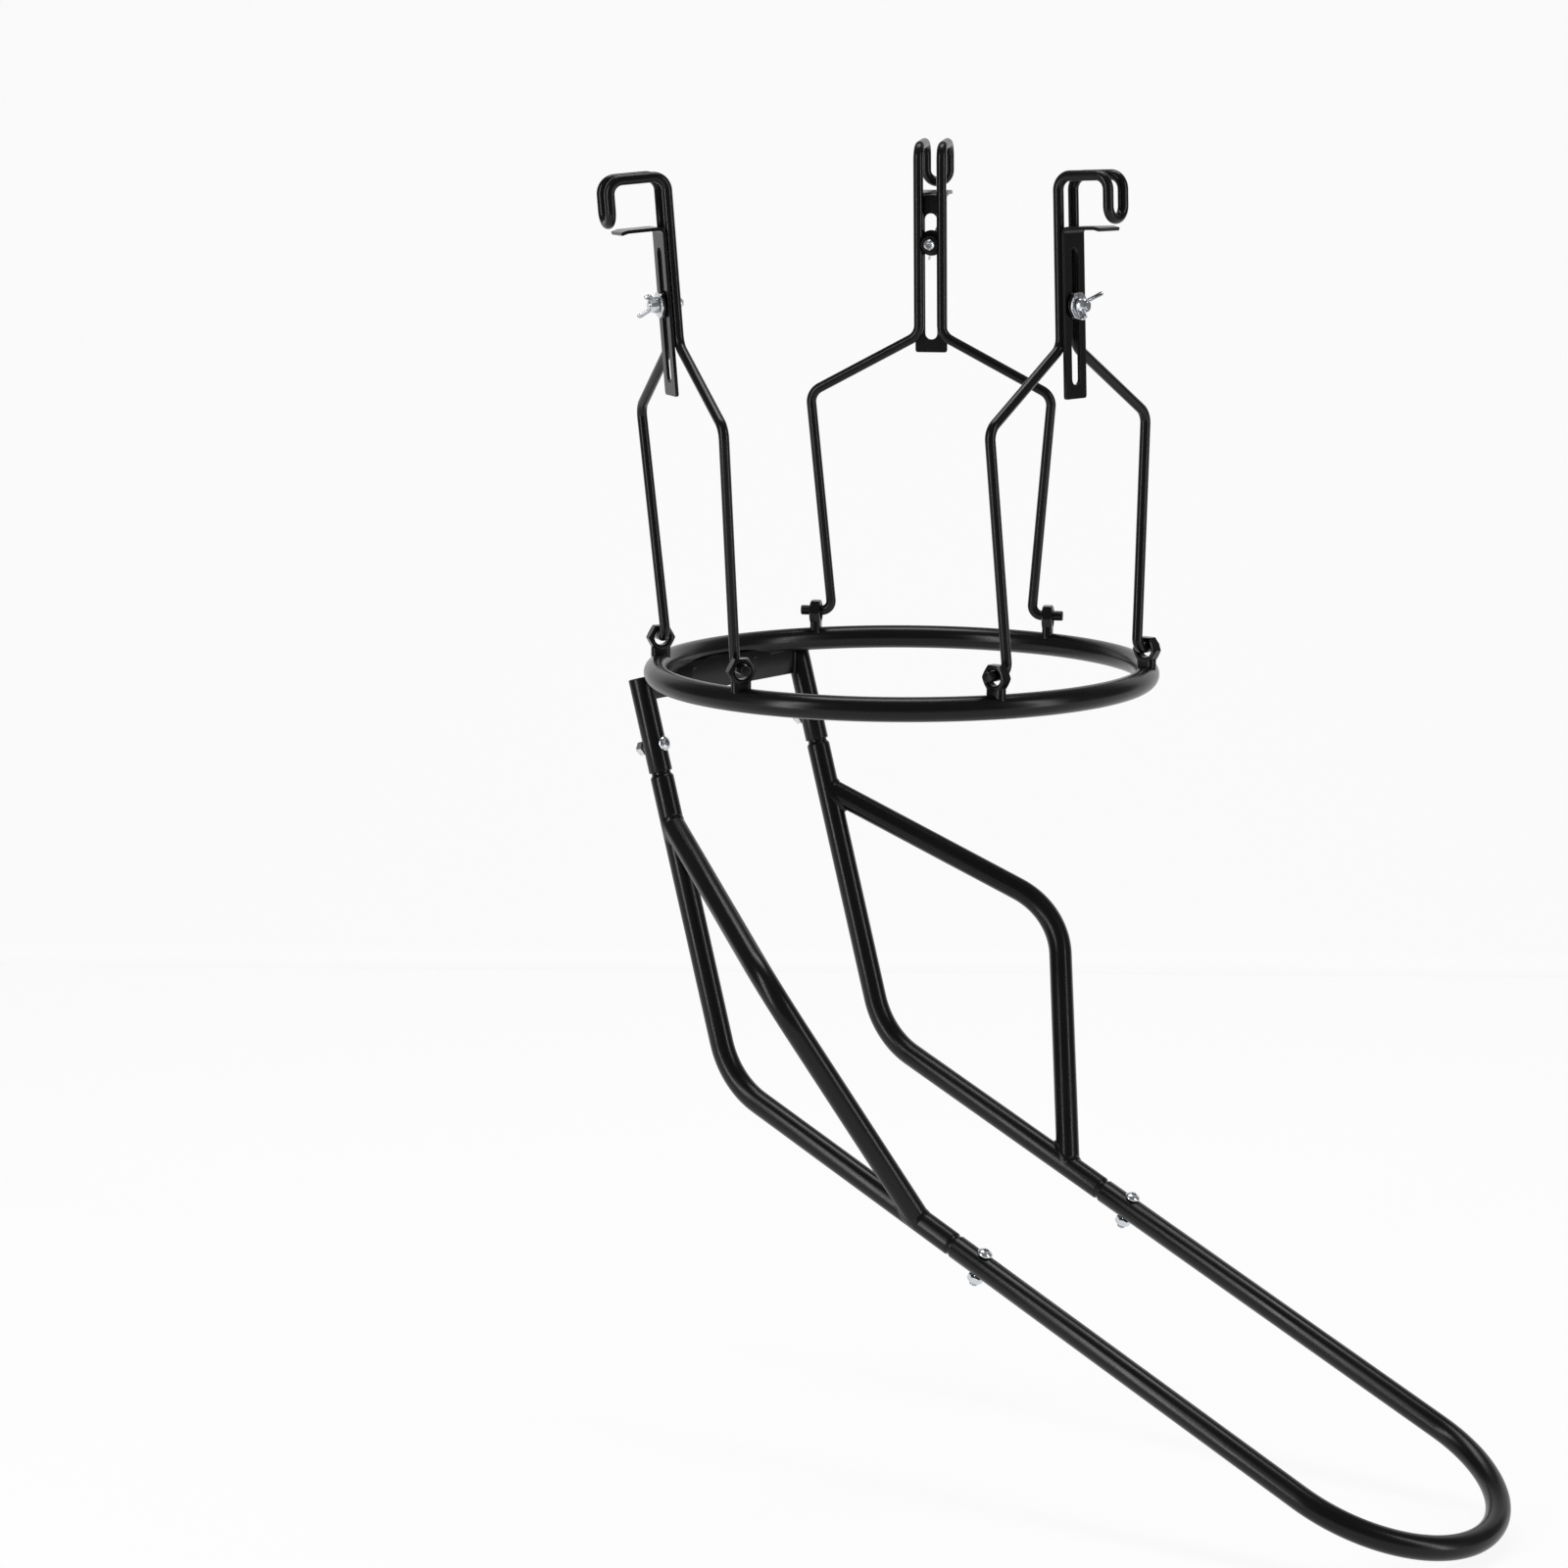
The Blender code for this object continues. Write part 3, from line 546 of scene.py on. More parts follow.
def spun_grid(radii, heights, seat, closed=False):
    """Points (r cos t, r sin t, z) in a seat, a column of radii and heights for each angle t."""
    angles = whole_turn(radii.shape[1])
    local = np.stack([radii * np.cos(angles), radii * np.sin(angles), heights], axis=-1)
    return placed(local, seat), closed, True


def turned_grid(profile, seat, sides=TURNED_SIDES):
    """Turned piece with a closed profile: (r(i) cos t(j), r(i) sin t(j), z(i)), in its seat."""
    radii, heights = np.asarray(profile, float).T[:, :, None] * np.ones(sides)
    return spun_grid(radii, heights, seat, closed=True)


def rounded_ring_profile(bore, radius, low, high, rounding):
    """Closed profile of a washer or sleeve: four faces joined by quarter-round edges."""
    bend = rounding * columns_of(np.sin(quarter(4)), np.cos(quarter(4)))
    outer, inner = radius - rounding, bore + rounding
    top, under = high - rounding, low + rounding
    corners = []
    for centre in ((outer, top), (outer, under), (inner, under), (inner, top)):
        corners.append(bend + centre)
        bend = bend[:, ::-1] * (1, -1)
    return np.vstack(corners)


def hex_reach(angles, apothem):
    """Radius of a hexagon with corners at zero: apothem / cos(angle from the nearest flat)."""
    sixth = pi / 3
    return apothem / np.cos((angles % sixth) - sixth / 2)


def nut_grid(across_flats, bore, height, seat):
    """Hexagonal nut from zero up: a hexagonal prism inside two flat cones.

    At angle t the side is at r(t) = hexagon radius, and ends where the cone reaches it, at
    z = height - (r(t) - c) tan(chamfer), with c the radius of the flat round face.
    """
    reach = hex_reach(whole_turn(NUT_SIDES), across_flats / 2)
    face = across_flats / 2 * NUT_FACE
    lead = (across_flats / 2 - bore) * NUT_LEAD
    drop = (reach - face) * tan(NUT_CHAMFER)
    rows = [
        (bore, lead), (bore + lead, 0), (face, 0), (reach, drop), (reach, height - drop),
        (face, height), (bore + lead, height), (bore, height - lead),
    ]
    radii, heights = (np.array([row[part] + 0 * reach for row in rows]) for part in (0, 1))
    return spun_grid(radii, heights, seat, closed=True)


def button_head_grid(radius, height, shank, seat):
    """Button head above zero: an elliptic dome, with a hexagonal socket to a cone floor.

    The dome is r = radius cos a, z = height sin a, cut by a flat top; the socket's wall is
    a hexagon's radius at each angle.
    """
    socket = hex_reach(whole_turn(NUT_SIDES), HEX_KEY / 2)
    ones = np.ones(NUT_SIDES)
    rise = np.linspace(DOME_START, DOME_STOP, 9)[:, None]
    dome_low = height * DOME_FOOT
    scale = (height - dome_low) / (sin(DOME_STOP) - sin(DOME_START))
    dome_heights = (dome_low + (np.sin(rise) - sin(DOME_START)) * scale) * ones
    rim = HEX_KEY * SOCKET_RIM
    lead = HEX_KEY * SOCKET_LEAD
    dome_radii = np.maximum(radius * np.cos(rise) / cos(DOME_START) * ones, rim)
    radii = np.vstack([np.outer((shank, radius - lead, radius), ones), dome_radii,
                       rim * ones, socket + lead / 2, socket, socket, 0 * ones])
    top = (height, height, height - lead, height * SOCKET_FLOOR, height * SOCKET_POINT)
    heights = np.vstack([np.outer((0, 0, lead), ones), dome_heights, np.outer(top, ones)])
    return spun_grid(radii, heights, seat)


def thread_grid(radius, length, seat, sides=32):
    """Threaded shank below zero: r = radius - depth (1 - |2 f - 1|) at each point.

    f is the fraction of (z / pitch - t / 2 pi), so the groove runs round as a helix. Both
    ends close in to the axis, the far one over a small lead.
    """
    rows = max(2, ceil(length / THREAD_PITCH * THREAD_ROWS))
    heights = np.linspace(0, -length, rows)[:, None] * np.ones(sides)
    phase = (heights / THREAD_PITCH - whole_turn(sides) / (2 * pi)) % 1
    radii = radius - THREAD_DEPTH * (1 - np.abs(2 * phase - 1))
    lead = np.clip(np.abs(-length - heights) / (2 * THREAD_DEPTH), 0, 1)
    radii = np.minimum(radii, radius - THREAD_DEPTH * (1 - lead))
    radii = np.vstack([np.zeros(sides), radii, np.zeros(sides)])
    heights = np.vstack([heights[:1], heights, heights[-1:]])
    return spun_grid(radii, heights, seat)


def bolt_grids(radius, height, shank, length, seat):
    """Button-head bolt: a head whose underside closes at its middle, and its shank."""
    head, _, _ = button_head_grid(radius, height, shank, seat)
    under = np.tile(head[0].mean(axis=0), (head.shape[1], 1))[None]
    return [(np.concatenate([under, head]), False, True), thread_grid(shank, length, seat)]


def rounded_outline(half_x, half_y, corner, count=6):
    """Rectangle with round corners: each corner's centre plus corner (cos t, sin t)."""
    angles = quarter(count)
    pieces = []
    for turn, (side_x, side_y) in enumerate(((1, 1), (-1, 1), (-1, -1), (1, -1))):
        swing = angles + turn * pi / 2
        pieces.append(columns_of(side_x * (half_x - corner) + corner * np.cos(swing),
                                 side_y * (half_y - corner) + corner * np.sin(swing)))
    return np.vstack(pieces)


def ripple(run):
    """Soft swell of a weld along its run: a cos(2 pi s / pitch)."""
    return WELD_RIPPLE * np.cos(2 * pi * run / WELD_PITCH)


def bead_grid(line, lift, radius):
    """Weld bead: a circle carried along a line, its radius swelling with each ripple.

    It closes to a point at both ends, as the square root of the distance to the end.
    """
    ahead = unit(np.gradient(line, axis=0))
    lift = lift - (lift * ahead).sum(1, keepdims=True) * ahead
    run = lengths_along(line)
    to_end = np.minimum(run, run[-1] - run)
    radii = radius * (1 + ripple(run)) * np.sqrt(np.clip(to_end / radius, 0, 1))
    return round_section(line, ahead, unit(lift), radii, BEAD_SIDES)


# Seats of the pieces

bore_radius = TUBE_RADIUS - TUBE_WALL
neck_radius = bore_radius - SEAT_GAP
half_rails = RAIL_SPREAD / 2
hinge_rise = LUG_RISE + LUG_HOLE_RADIUS - WIRE_RADIUS - SEAT_GAP
half_chord = RING_RADIUS * sin(LUG_HALF_SPREAD)
chord_distance = RING_RADIUS * cos(LUG_HALF_SPREAD)
half_feet = half_chord - LUG_THICKNESS / 2 - LEG_CLEARANCE - WIRE_RADIUS
half_knees = half_feet + KNEE_FLARE
half_prongs = PRONG_SPREAD / 2
plate_inner = WIRE_RADIUS + SEAT_GAP
plate_outer = plate_inner + PLATE_THICKNESS
spacer_low = plate_outer + SEAT_GAP
spacer_top = spacer_low + SPACER_THICKNESS
outer_low = spacer_top + SEAT_GAP
outer_top = outer_low + OUTER_WASHER_THICKNESS
wing_face = outer_top + SEAT_GAP
shank_hole = CLAMP_BOLT_RADIUS + SEAT_GAP
washer_seat = sqrt((WIRE_RADIUS + SEAT_GAP) ** 2
                   - (half_prongs - INNER_WASHER_RADIUS) ** 2)
washer_top = washer_seat + INNER_WASHER_THICKNESS
ring_reach = RING_RADIUS + (2 * TUBE_RADIUS + SEAT_GAP) / cos(UPPER_TILT)
socket_back = -sqrt(ring_reach ** 2 - half_rails ** 2)
upper_line = np.array((sin(UPPER_TILT), 0, -cos(UPPER_TILT)))
lower_line = np.array((sin(LOWER_TILT), 0, -cos(LOWER_TILT)))
upper_normal = np.array((cos(UPPER_TILT), 0, sin(UPPER_TILT)))
lower_normal = np.array((cos(LOWER_TILT), 0, sin(LOWER_TILT)))
sideways_line = np.array((0.0, 1.0, 0.0))
socket_top = np.array((socket_back + SOCKET_TOP_DROP * tan(UPPER_TILT), 0, -SOCKET_TOP_DROP))
rail_vertex = np.array((socket_back + RAIL_BEND_DROP * tan(UPPER_TILT), 0, -RAIL_BEND_DROP))
rail_mouth = rail_vertex + lower_line * MOUTH_DISTANCE
loop_centre = rail_vertex + lower_line * LOOP_CENTRE_DISTANCE
UP = np.array((0.0, 0.0, 1.0))
ORIGIN = np.zeros(3)
chute_seat = (ORIGIN, turn_matrix(UP, CHUTE_HEADING))


def upper_point(distance):
    """Point of the upper line, at a distance down from the sockets' top."""
    return socket_top + upper_line * distance


def lower_point(distance):
    """Point of the lower line, at a distance on from the rails' corner."""
    return rail_vertex + lower_line * distance


def axis_seat(centre, axis, toward):
    """Seat on the chute whose third axis is a given line and whose second leans to another."""
    third = unit(axis)
    second = unit(toward - (toward @ third) * third)
    first = np.cross(second, third)
    return moved_seat(chute_seat, centre, np.column_stack([first, second, third]))


def on_chute(grid, closed=False):
    """A grid of the chute's own frame as a shell in the row frame."""
    return placed(grid, chute_seat), closed, True


def hanger_seat(hanger):
    """The hanger's hinge: x outward, y along the hinge, z up the leaning legs."""
    heading = HANGER_HEADINGS[hanger]
    origin = np.array((chord_distance * cos(heading), chord_distance * sin(heading),
                       hinge_rise))
    basis = turn_matrix(UP, heading) @ turn_matrix(sideways_line, HANGER_LEANS[hanger])
    return origin, basis


def clamp_seat(hanger):
    """The clamp bolt's axis: z outward through the plate."""
    level = HOOK_RISES[hanger] - CLAMP_BOLT_DROPS[hanger]
    return moved_seat(hanger_seat(hanger), (0, 0, level), turn_matrix(sideways_line, pi / 2))


# Finishes

def add_node(tree, kind, settings=(), inputs=()):
    """One shader node: its settings, then each input from a socket or a plain value."""
    node = tree.nodes.new(kind)
    for name, value in dict(settings).items():
        setattr(node, name, value)
    for name, value in dict(inputs).items():
        if isinstance(value, bpy.types.NodeSocket):
            tree.links.new(value, node.inputs[name])
        else:
            node.inputs[name].default_value = value
    return node


def new_finish(name):
    """An empty node material with its output, and the Object coordinates it reads."""
    finish = bpy.data.materials.new(name)
    finish.use_nodes = True
    tree = finish.node_tree
    tree.nodes.clear()
    output = add_node(tree, "ShaderNodeOutputMaterial")
    coords = add_node(tree, "ShaderNodeTexCoord")
    return finish, tree, output, coords.outputs["Object"]


def grains_per_metre(millimetres):
    """Noise scale that gives grains of a real size."""
    return 1000 / millimetres


def noise(tree, place, millimetres, detail):
    """Noise of a grain size, read at a place."""
    return add_node(tree, "ShaderNodeTexNoise", (), {
        "Vector": place, "Scale": grains_per_metre(millimetres), "Detail": detail
    }).outputs["Fac"]


def gloss(tree, cause, low, high):
    """Roughness between two values, by a noise."""
    return add_node(tree, "ShaderNodeMapRange", (), {
        "Value": cause, "From Min": 0.3, "From Max": 0.7, "To Min": low, "To Max": high
    }).outputs["Result"]


def tint(tree, cause, base, darker, lighter):
    """Colour between a darker and a lighter share of the base, by a noise."""
    colour = add_node(tree, "ShaderNodeMix", {"data_type": "RGBA"}, {"Factor": cause})
    for name, share in (("A", darker), ("B", lighter)):
        shade = [min(1, value * share) for value in base]
        colour.inputs[name].default_value = (*shade, 1)
    return colour.outputs["Result"]


def bump(tree, height, strength, distance, **under):
    """Normal bent by a height, over the normal under it where one is given."""
    return add_node(tree, "ShaderNodeBump", (), {
        "Strength": strength, "Distance": distance, "Height": height, **under
    }).outputs["Normal"]


def coat(tree, output, inputs):
    """The surface shader, joined to the material's output."""
    shader = add_node(tree, "ShaderNodeBsdfPrincipled", (), inputs)
    tree.links.new(shader.outputs["BSDF"], output.inputs["Surface"])


def powder_finish(name):
    """Polyester powder, sprayed and baked on steel.

    It flows into a semi-gloss black skin with an orange peel of about 1.5 mm, a fine grit
    that breaks up the highlight, and slow drifts in gloss along a tube.
    """
    finishes = bpy.context.scene.chute_finishes
    finish, tree, output, place = new_finish(name)
    peel = noise(tree, place, POWDER_PEEL, 1.0)
    grit = noise(tree, place, POWDER_GRIT, 2.0)
    drift = noise(tree, place, POWDER_DRIFT, 2.0)
    rough = finishes.powder_roughness
    low = bump(tree, peel, 0.08, 0.0002)
    coat(tree, output, {
        "Base Color": tint(tree, grit, finishes.powder_colour, 0.82, 1.2),
        "Roughness": gloss(tree, drift, rough - 0.04, rough + 0.05),
        "Normal": bump(tree, grit, 0.04, 0.0001, Normal=low),
        "IOR": 1.5, "Specular IOR Level": 0.26, "Metallic": 0.0})
    return finish


def zinc_finish(name):
    """Bright zinc, plated on cold-headed and rolled steel.

    A cool silver skin that mirrors softly, with a faint bloom in patches of about 2 mm and
    fine rings from the turning, drawn 0.25 mm apart so that they show.
    """
    finishes = bpy.context.scene.chute_finishes
    finish, tree, output, place = new_finish(name)
    bloom = noise(tree, place, ZINC_BLOOM, 3.0)
    run = add_node(tree, "ShaderNodeAttribute", {"attribute_name": "run"})
    line = add_node(tree, "ShaderNodeCombineXYZ", (), {"X": run.outputs["Fac"]})
    rings = add_node(tree, "ShaderNodeTexWave", {
        "wave_type": "BANDS", "bands_direction": "X", "wave_profile": "SIN"}, {
        "Vector": line.outputs["Vector"], "Scale": grains_per_metre(TURNING_STEP) / 20,
        "Distortion": 1.5, "Detail": 1.0, "Detail Scale": 2.0})
    rough = finishes.zinc_roughness
    coat(tree, output, {
        "Base Color": tint(tree, bloom, finishes.zinc_colour, 0.9, 1.06),
        "Roughness": gloss(tree, bloom, rough - 0.05, rough + 0.1),
        "Normal": bump(tree, rings.outputs["Fac"], 0.15, 0.00005), "Metallic": 1.0})
    return finish


FINISHES = {
    "powder_coat": ("baked_black_powder_coat", powder_finish),
    "zinc_plate": ("bright_zinc_plate", zinc_finish),
}


def slot_finish(slot):
    """The material of a slot, made at its first use."""
    name, build = FINISHES[slot]
    return bpy.data.materials.get(name) or build(name)


# Ring and lugs

def ring_grid(ring_radius, tube_radius):
    """Torus: ((R + r cos v) cos u, (R + r cos v) sin u, r sin v)."""
    u = whole_turn(RING_STATIONS)[:, None]
    v = whole_turn(TUBE_SIDES)[None, :]
    reach = ring_radius + tube_radius * np.cos(v)
    grid = np.stack([reach * np.cos(u), reach * np.sin(u),
                     tube_radius * np.sin(v) + 0 * u], axis=-1)
    return grid, True, True


def ring_height(x, y, ring_radius, tube_radius):
    """Height of the ring tube's upper side over (x, y): sqrt(r^2 - (|(x, y)| - R)^2)."""
    off = np.hypot(x, y) - ring_radius
    return np.sqrt(np.clip(tube_radius ** 2 - off ** 2, 0, None))


def post_grid(hanger, side, settings):
    """A lug's post, drawn out in a weld fillet on the ring and drawn in under the hexagon.

    Each row is a rounded rectangle. In the fillet it is f (1 - sin t) wider all round, at
    f (1 - cos t) above the ring; at the shoulder it is s (1 - cos t) narrower.
    """
    turn = turn_matrix(UP, HANGER_HEADINGS[hanger])
    centre = np.array((chord_distance, side * half_chord))
    half_x = LUG_POST_WIDTH / 2
    half_y = LUG_THICKNESS / 2 - SEAT_GAP / 2
    rows = []
    for swing in quarter(6):
        out = LUG_FILLET * (1 - sin(swing))
        foot = centre + rounded_outline(half_x + out, half_y + out, LUG_CORNER + out)
        level = ring_height(foot[:, 0], foot[:, 1], settings.ring_radius, settings.tube_radius)
        level = level + LUG_FILLET * (1 - cos(swing)) - SEAT_GAP
        rows.append(np.column_stack([foot, level]))
    shoulder = LUG_RISE - LUG_ACROSS_FLATS / 2 + LUG_SHOULDER
    for swing in quarter(6):
        shape = rounded_outline(half_x - LUG_SHOULDER * (1 - cos(swing)), half_y, LUG_CORNER)
        level = np.full(len(shape), shoulder + LUG_SHOULDER * SHOULDER_STRETCH * sin(swing))
        rows.append(np.column_stack([centre + shape, level]))
    poles = [np.tile((*centre, level), (len(rows[0]), 1))
             for level in (settings.tube_radius / 2, rows[-1][0, 2])]
    post = np.stack([poles[0], *rows, poles[1]]) @ turn.T
    return post, False, True


# Chute pieces

def mitred_ring(point, ahead, across, radius, sides, axis, rail_radius, sign=1):
    """A tube's circle, slid along the tube until each point lies on the rail round its foot.

    The slide is the larger root t of |q + t w|^2 = r^2, with q the circle and w the way
    along the tube, both with their parts along the rail's axis taken off.
    """
    circle = round_section(point[None], ahead[None], across[None], np.array([radius]), sides)[0]
    way = ahead * sign
    offset = square_to(circle - point, axis)
    aside = way - (way @ axis) * axis
    a = aside @ aside
    b = offset @ aside
    c = (offset ** 2).sum(axis=1) - rail_radius ** 2
    reach = (-b + np.sqrt(np.clip(b * b - a * c, 0, None))) / a
    return circle + reach[:, None] * way, reach.max()


def joint_weld(point, ahead, across, tube, axis, leg):
    """Low fillet round a mitred joint, its toes on the rail and on the tube.

    With c the cosine between the two tubes' normals, the toes lie leg sqrt((1 + c) / 2) to
    each side of the mitre line and leg sqrt((1 - c) / 2) above it, less a small sink. The
    face swells between them as 1 - u^2, and two points under the surface close the section.
    """
    ring, _ = mitred_ring(point, ahead, across, tube, RING_STATIONS, axis, tube)
    from_rail = unit(square_to(ring - point, axis))
    from_tube = unit(square_to(ring - point, ahead))
    cosine = (from_rail * from_tube).sum(1)[:, None]
    tangent = unit(np.roll(ring, -1, axis=0) - np.roll(ring, 1, axis=0))
    lift = from_rail + from_tube
    lift = unit(lift - (lift * tangent).sum(1, keepdims=True) * tangent)
    aside = np.cross(tangent, lift)
    legs = (leg * (1 + ripple(lengths_along(ring))))[:, None]
    face = np.linspace(-1, 1, 9)
    width = np.concatenate([face, [0.5, -0.5]]) * np.sqrt((1 + cosine) / 2)
    swell = WELD_SWELL * (1 - face ** 2) - WELD_TOE_SINK
    height = np.hstack([np.sqrt((1 - cosine) / 2) + swell,
                        np.full((len(ring), 2), -WELD_ROOT_SINK)])
    grid = ring[:, None] + (legs * width)[:, :, None] * aside[:, None]
    return on_chute(grid + (legs * height)[:, :, None] * lift[:, None], closed=True)


def side_rail_grids(side, settings):
    """Bent guard rail with both ends mitred to the main rail, and its two welds."""
    tube = settings.tube_radius
    across = sideways_line * side
    branch = upper_point(SIDE_BRANCH_DROP) + across * half_rails
    flare = np.array((SIDE_BEND_FORWARD, 0, -SIDE_BEND_DROP)) + across * SIDE_BEND_HALF_SPREAD
    landing = lower_point(SIDE_LAND_DISTANCE) + across * half_rails
    points, aheads, acrosses = bent_path([branch, flare, landing], [SIDE_BEND_RADIUS])
    section = tube - MITRE_SLACK
    poles, rings, welds = [], [], []
    for end, foot, axis, sign in ((0, branch, upper_line, 1), (-1, landing, lower_line, -1)):
        ring, reach = mitred_ring(foot, aheads[end], acrosses[end], section, TUBE_SIDES, axis,
                                  tube - MITRE_SINK, sign)
        points[end] = foot + aheads[end] * sign * (reach + MITRE_STANDOFF)
        poles.append(np.tile(foot, (1, TUBE_SIDES, 1)))
        rings.append(ring[None])
        welds.append(joint_weld(foot, aheads[end] * sign, acrosses[end], tube, axis,
                                settings.weld_leg))
    middle = round_section(points, aheads, acrosses, np.full(len(points), section), TUBE_SIDES)
    rail = np.concatenate([poles[0], rings[0], middle, rings[1], poles[1]])
    return [on_chute(rail), *welds]


def main_rail_grid(side, settings):
    """Main rail: swaged plug, straight, one bend, straight, swaged plug."""
    across = sideways_line * side * half_rails
    start = upper_point(SOCKET_LENGTH - PLUG_LENGTH)
    end = lower_point(MOUTH_DISTANCE + PLUG_LENGTH)
    path = bent_path([start + across, rail_vertex + across, end + across],
                     [RAIL_BEND_RADIUS])
    plug = swaged_end(settings.tube_radius, neck_radius, PLUG_LENGTH + NECK_SHOW, NECK_TAPER,
                      TUBE_END_ROUND)
    return carried_tube(path, settings.tube_radius, TUBE_SIDES, plug, chute_seat)


def end_loop_grid(settings):
    """End loop: straight, a half circle of the rails' half spread, straight, bored mouths."""
    near = -sideways_line * half_rails
    far = sideways_line * half_rails
    tip = loop_centre + lower_line * half_rails
    path = bent_path([rail_mouth + near, tip + near, tip + far, rail_mouth + far],
                     [half_rails, half_rails])
    mouth = bored_end(settings.tube_radius, bore_radius, PLUG_LENGTH + BORE_SPARE,
                      TUBE_END_ROUND)
    return carried_tube(path, settings.tube_radius, TUBE_SIDES, mouth, chute_seat)


def socket_grid(side, settings):
    """Socket: a short tube with round rims, open at both ends."""
    seat = axis_seat(socket_top + sideways_line * side * half_rails, upper_line,
                     sideways_line)
    profile = rounded_ring_profile(bore_radius, settings.tube_radius, 0, SOCKET_LENGTH,
                                   TUBE_END_ROUND)
    return turned_grid(profile, seat, TUBE_SIDES)


def bar_top(x, y, settings):
    """Top of the back bar over (x, y): the lower of its own top and the ring's underside.

    Its own top is raised in the middle; the underside is -sqrt(r^2 - (|(x, y)| - R)^2).
    """
    flat = -settings.tube_radius - SEAT_GAP
    own = np.where(np.abs(y) <= BACK_BAR_CREST_HALF_LENGTH, flat + BACK_BAR_CREST, flat)
    return np.minimum(own, -ring_height(x, y, settings.ring_radius, settings.tube_radius))


def back_bar_grids(settings):
    """Flat bar with its end beads to the sockets, and tacks and seams under the ring.

    Each station's section is a rectangle with quarter-round corners, whose upper points
    lie at bar_top(x, y) less the corner's drop r (1 - cos t).
    """
    top = -settings.tube_radius - SEAT_GAP
    low = top - BACK_BAR_HEIGHT
    middle = socket_back - (top + low) / 2 * tan(UPPER_TILT)
    half_length = half_rails - settings.tube_radius - SEAT_GAP
    half = BACK_BAR_THICKNESS / 2
    angles = quarter(4)
    out = half - BAR_EDGE_ROUND + BAR_EDGE_ROUND * np.sin(angles)
    drop = BAR_EDGE_ROUND * (1 - np.cos(angles))
    x = middle + np.concatenate([out, out[::-1], -out, -out[::-1]])[None, :]
    y = np.linspace(-half_length, half_length, BAR_STATIONS)[:, None]
    fall = np.tile(np.concatenate([drop, drop[::-1]]), 2)
    upper = np.repeat([True, False, False, True], len(angles))
    z = np.where(upper, bar_top(x, y, settings) - fall, low + fall)
    grid = np.stack(np.broadcast_arrays(x, y, z), axis=-1)
    caps = [np.broadcast_to(grid[end].mean(axis=0), grid[:1].shape) for end in (0, -1)]
    shells = [on_chute(np.concatenate([caps[0], grid, caps[1]]))]
    levels = np.linspace(top, low, BEAD_STATIONS)
    sweep = np.linspace(-TACK_HALF_LENGTH, TACK_HALF_LENGTH, BEAD_STATIONS)
    seam = np.linspace(SEAM_START, SEAM_END, BEAD_STATIONS)
    for side, _ in SIDES:
        end = side * (half_length + SEAT_GAP)
        beads = [
            (middle - half, end, levels, (-1, -side, 0), BAR_WELD_RADIUS),
            (middle + half, end, levels, (1, -side, 0), BAR_WELD_RADIUS),
            (middle + half, side * TACK_HALF_SPREAD + sweep, top, (1, 0, 0), TACK_RADIUS),
            (middle, side * seam, top + SEAT_GAP, (1, 0, 0), SEAM_RADIUS),
        ]
        for *place, lift, radius in beads:
            line = columns_of(*place, levels)[:, :3]
            shells.append(on_chute(bead_grid(line, np.array(lift, float), radius)))
    return shells


# Hangers, plates and clamps

def hanger_grid(hanger, settings):
    """Bent wire: hinge end, leg, knee, prong and hook, and back down the same on the other side."""
    hook_rise = HOOK_RISES[hanger]
    wire_end = half_chord + LUG_THICKNESS / 2 + WIRE_END_OVERHANG
    side = np.array([
        (0, wire_end, 0),
        (0, half_feet, 0),
        (0, half_knees, KNEE_RISE),
        (0, half_prongs, FORK_RISES[hanger]),
        (0, half_prongs, hook_rise),
        (HOOK_REACH, half_prongs, hook_rise),
        (HOOK_REACH, half_prongs, hook_rise - HOOK_DROP),
    ])
    corners = np.vstack([side, side[::-1] * (1, -1, 1)])
    bends = [FOOT_BEND_RADIUS, KNEE_BEND_RADIUS, FORK_BEND_RADIUS, HOOK_BEND_RADIUS,
             HOOK_BEND_RADIUS, half_prongs]
    path = bent_path(corners, bends + bends[::-1], BEND_STEP * 2)
    end = cut_end(settings.wire_radius, WIRE_END_ROUND)
    return carried_tube(path, settings.wire_radius, WIRE_SIDES, end, hanger_seat(hanger))


def plate_line(hanger):
    """Middle line of the bent plate, in the hanger's frame, with its foot and lip levels."""
    lip_level = HOOK_RISES[hanger] - PLATE_LIP_DROP
    foot_level = lip_level + PLATE_THICKNESS / 2 - PLATE_LENGTH
    lip_tip = HOOK_REACH - WIRE_RADIUS - LIP_HOOK_CLEARANCE
    middle = plate_inner + PLATE_THICKNESS / 2
    corners = [(middle, 0, foot_level), (middle, 0, lip_level),
               (lip_tip - LIP_CURL_LENGTH, 0, lip_level),
               (lip_tip, 0, lip_level - LIP_CURL_DROP)]
    points, _, _ = bent_path(corners, [PLATE_BEND_RADIUS, LIP_CURL_RADIUS], radians(6.0))
    return points, foot_level, lip_level


def at_run(points, runs):
    """Points on a line at given distances along it, straight between its points."""
    along = lengths_along(points)
    return np.column_stack([np.interp(runs, along, points[:, axis]) for axis in range(3)])


